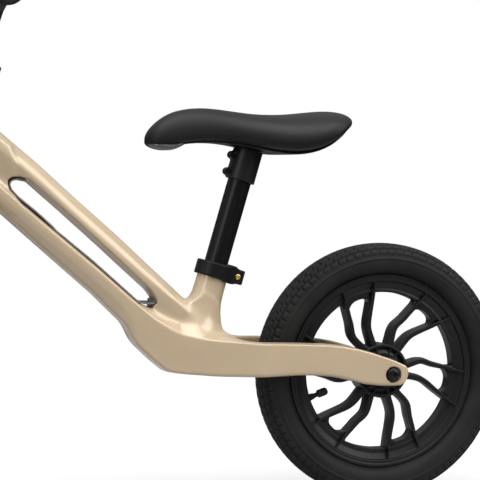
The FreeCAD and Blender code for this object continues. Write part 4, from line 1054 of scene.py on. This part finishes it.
# ------------------------------------------------------------------ fork
# A second casting in the same alloy and paint as the frame: a crown, two legs with a creased
# outer face, and flat ends that take the front axle.
CROWN = (172.0, 218.3)
STEERER = 14.35
LEG_OUT = run([(-20, 46.2), (0, 46.5), (120, 46), (150, 44.5), (175, 39.5), (200, 31), (218, 25.5),
               (240, 22)], 4)
LEG_AT = run([(-20, -18), (0, -18), (60, -9), (110, -3), (150, 0), (240, 0)], 8)
LEG_DEEP = run([(-20, 15.3), (30, 15.3), (60, 17), (110, 20), (150, 22.5), (172, 23.6),
                (206, 23.6), (220, 21), (240, 19)], 5)
LEG_GAP = run([(-20, 35), (28, 35), (46, 31), (240, 31)], 3)


def fork_casting(x, y, z):
    """distance to the fork's skin, in its own leaning frame: an oblong whose outer face falls
    away to both sides of a ridge, less the wheel's pocket, the steerer's bore and bolt holes"""
    y = np.abs(y)
    off = np.abs(x - LEG_AT(z))
    deep, out = LEG_DEEP(z), LEG_OUT(z)
    face = (y - out + 0.16 * soft_max(off - 2.0, 0 * off, 2.0)) * 0.985
    bevel = (y - out + (off - deep) + 9.0) * 0.7071
    whole = soft_max(soft_max(face, off - deep, 3.5), bevel, 2.5)
    end = np.hypot(x - LEG_AT(z), np.minimum(z, 0)) - 15.4
    whole = np.where(z < 0, soft_max(whole, end, 2), whole)
    whole = soft_max(whole, z - CROWN[1], 3)
    side, rise = y - (LEG_GAP(z) - 22), z - (CROWN[0] - 22)
    pocket = np.hypot(np.maximum(side, 0), np.maximum(rise, 0)) - 22
    pocket = pocket + np.minimum(np.maximum(side, rise), 0)
    whole = soft_max(whole, -pocket, 3)
    round_axis = np.hypot(x, y)
    whole = np.maximum(whole, -np.maximum(round_axis - STEERER, 181.9 - z))
    bolt = np.hypot(x + FORK_OFFSET, z)
    whole = soft_max(whole, -np.maximum(bolt - BOLT_RECESS, RECESS_FROM - y), 0.5)
    ring = np.hypot(bolt - 10.9, (y - 46.4) * 0.9) - 0.55
    return np.maximum(np.maximum(whole, -ring), -(bolt - AXLE_HOLE))


points, quads = net(fork_casting, (-37, -49, -18), (28, 49, 221), 1.7)
fork_look = piece("fork_casting", leaned(points, *STEER_AXIS), quads,
                  normals=leaned(steepest(fork_casting, points), np.zeros(3), STEER_WAY))
give(pearl, fork_look)
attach(fork_look, "fork")
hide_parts("fork")

# ------------------------------------------------------------------ headset cover and bar clamp
# A turned alloy cover sheds water from the upper bearing, and above it a split band, the same
# forging as the seat clamp, closes the slotted top of the steerer on the bar's stem.
BAR_BAND = (346.0, 361.7)
cover_side = rounded([(14.4, 337.6), (22.4, 337.6), (22.4, 340.6), (18.9, 345.6), (14.4, 345.9)],
                     0.7, 3)
points, faces = spun(cover_side, 96)
cover_look = piece("headset_top_cover", leaned(points, *STEER_AXIS), faces)
points, quads = net(lambda x, y, z: band(x, y, z, STEERER, *BAR_BAND, 29.3, 22.3),
                    (-20, -20, BAR_BAND[0] - 2), (31, 20, BAR_BAND[1] + 2), 0.8)
bar_clamp_look = piece("bar_clamp_band", leaned(points, *STEER_AXIS), quads)
for look, node in ((cover_look, "headset_cover"), (bar_clamp_look, "bar_clamp")):
    give(satin_black, look)
    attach(look, "fork")
    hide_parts(node)

# ------------------------------------------------------------------ handlebar
# A straight cross bar of alloy tube is welded to the stem tube, with a reinforced joint; the
# whole is powder coated satin black.
BAR_RISE = 429.0


def handlebar_tube(x, y, z):
    """distance to the welded bar: a cross tube and a stem tube, both thicker at the joint, with
    a weld bead's fillet between them"""
    y = np.abs(y)
    cross, stem = np.hypot(x, z - BAR_RISE), np.hypot(x, y)
    tube = soft_max(cross - 11.05, y - 195.8, 0.8)
    sleeve = soft_max(cross - 14.9, y - 17.8, 1.6)
    post = soft_max(stem - 11.05, 276.2 - z, 0.8)
    neck = soft_max(stem - 13.9, np.abs(z - 413) - 15.6, 1.8)
    post = np.maximum(post, z - BAR_RISE)
    return soft_min(soft_min(tube, sleeve, 1.2), soft_min(post, neck, 1.2), 4)


points, quads = net(handlebar_tube, (-17, -198, 274), (17, 198, 446), 1.6)
bar_look = piece("handlebar_tube", leaned(points, *STEER_AXIS), quads)
powder, place, shader = material("black_powder_coat", Roughness=0.4)
surface(shader, grain(place, 25), (0.010, 0.010, 0.0105), (0.017, 0.017, 0.0175),
        grain(place, 700, 2), (0.34, 0.46), 0.00006, 0.7)
give(powder, bar_look)
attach(bar_look, "handlebar")
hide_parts("handlebar")

# ------------------------------------------------------------------ grips
# Soft black rubber sleeves, ribbed all round with a smooth thumb pad, end in a broad guard
# disc that keeps the bar's end off the ground and off the child.
def grip_shell(side):
    """rings along the bar: a ring flange, a barrel lowered by narrow grooves outside its smooth
    pad, and a domed guard disc"""
    at = np.concatenate([[88.2, 88.2, 88.8, 91.4, 92.0, 92.8], np.arange(94, 188, 0.75),
                         [189, 190, 191, 192, 193, 194.5, 196, 197.5, 198.7, 199.5, 199.9, 199.9]])
    flange = [11.2, 17.0, 17.5, 17.5, 17.0, 15.5]
    disc = [15.5, 15.8, 16.6, 18.0, 19.4, 19.95, 20.0, 19.9, 19.3, 18.2, 16.6, 8.0]
    barrel = np.interp(np.arange(94, 188, 0.75), [94, 140, 188], [15.2, 14.8, 15.3])
    radius = np.concatenate([flange, barrel, disc])
    turn = whole_turn(80)
    groove = np.clip(1.6 - np.abs((at - 94) % 6.0 - 3.0) * 1.6, 0, 1)
    groove *= (at > 97) & (at < 185)
    pad = np.clip(np.cos(turn - 2.2) * 3 - 1.2, 0, 1) * 1.0
    radius = radius[:, None] - 0.75 * groove[:, None] * (1 - pad)[None, :]
    x, z = radius * np.cos(turn), radius * np.sin(turn)
    y = side * np.broadcast_to(at[:, None], x.shape)
    return outward(*skin(np.stack([x, y, z + BAR_RISE], axis=2)))


grip_rubber, place, shader = material("grip_rubber", Roughness=0.6, Specular_IOR_Level=0.35)
surface(shader, grain(place, 30), (0.0095, 0.0095, 0.0095), (0.018, 0.018, 0.0178),
        grain(place, 1500, 3), (0.52, 0.66), 0.00008, 0.8)
for name, side in (("left_grip", -1), ("right_grip", 1)):
    points, faces = grip_shell(side)
    grip_look = piece(name + "_sleeve", leaned(points, *STEER_AXIS), faces)
    give(grip_rubber, grip_look)
    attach(grip_look, "handlebar")
    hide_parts(name)

# ------------------------------------------------------------------ studio
# The bike stands on a plain white floor.  One large soft light hangs above and a little in
# front, a second stands at the left and a third, large and near, at the right, so that the
# beam's crown carries a broad highlight and the undersides of the casting fall off.
FLOOR_HALF = 6000.0
corners = [(x, y, 0.0) for y in (-FLOOR_HALF, FLOOR_HALF) for x in (-FLOOR_HALF, FLOOR_HALF)]
floor = piece("studio_floor", corners, [(0, 1, 3, 2)], smooth=False)
white, place, shader = material("studio_white", Roughness=0.9)
away = place.make("VectorMath", {"operation": "LENGTH"}, {0: place}, 1)
feed(shader, "Base Color", grain(place, 3).ramp(0.3, 0.7).mix((0.92, 0.92, 0.92, 1),
                                                             (0.94, 0.94, 0.94, 1)))
feed(shader, "Alpha", away.make("MapRange", {"interpolation_type": "SMOOTHSTEP"},
                                {0: away, 1: 0.45, 2: 1.4, 3: 0.45, 4: 0.0}))
give(white, floor)


def softbox(name, spot, target, size, power):
    """a square area light at a spot, turned to face a target"""
    lamp = bpy.data.lights.new(name, "AREA")
    lamp.shape = "RECTANGLE"
    lamp.size, lamp.size_y = size
    lamp.energy = power
    made = bpy.data.objects.new(name, lamp)
    bpy.context.scene.collection.objects.link(made)
    made.location = spot
    made.rotation_euler = (Vector(target) - Vector(spot)).to_track_quat("-Z", "Y").to_euler()
    return made


softbox("overhead_light", (-0.3, -0.5, 2.3), (0.0, 0.0, 0.2), (2.4, 1.8), 52)
softbox("left_light", (-2.2, -1.6, 1.4), (0.0, 0.0, 0.25), (0.9, 1.8), 14)
softbox("right_light", (1.75, -1.35, 1.5), (0.0, 0.0, 0.3), (1.5, 1.9), 30)
bpy.context.scene.view_settings.view_transform = "Standard"
sky = bpy.data.worlds.new("white_room")
bpy.context.scene.world = sky
sky.use_nodes = True
room = Tone(sky.node_tree)
seen = room.make("LightPath", None, None, 0)
upward = room.make("SeparateXYZ", None, {0: room.make("TexCoord", None, None, 0)}, 2)
glow = room.make("Background", None, {"Color": (1, 1, 1, 1),
                                      "Strength": upward.ramp(-0.05, 0.6, 0.015, 0.60)})
wall = room.make("Background", None, {"Color": (1, 1, 1, 1), "Strength": 1.0})
whole = room.make("MixShader", None, {0: seen, 1: glow, 2: wall})
sky.node_tree.links.new(whole.socket, sky.node_tree.nodes["World Output"].inputs[0])

lens = bpy.data.cameras.new("camera")
lens.lens, lens.sensor_width = 120.64, 36
camera = bpy.data.objects.new("camera", lens)
bpy.context.scene.collection.objects.link(camera)
camera.location = (-0.37862, -1.65523, 0.37154)
camera.rotation_euler = Vector((0.29320, 0.95482, -0.04853)).to_track_quat("-Z", "Y").to_euler()
bpy.context.scene.camera = camera
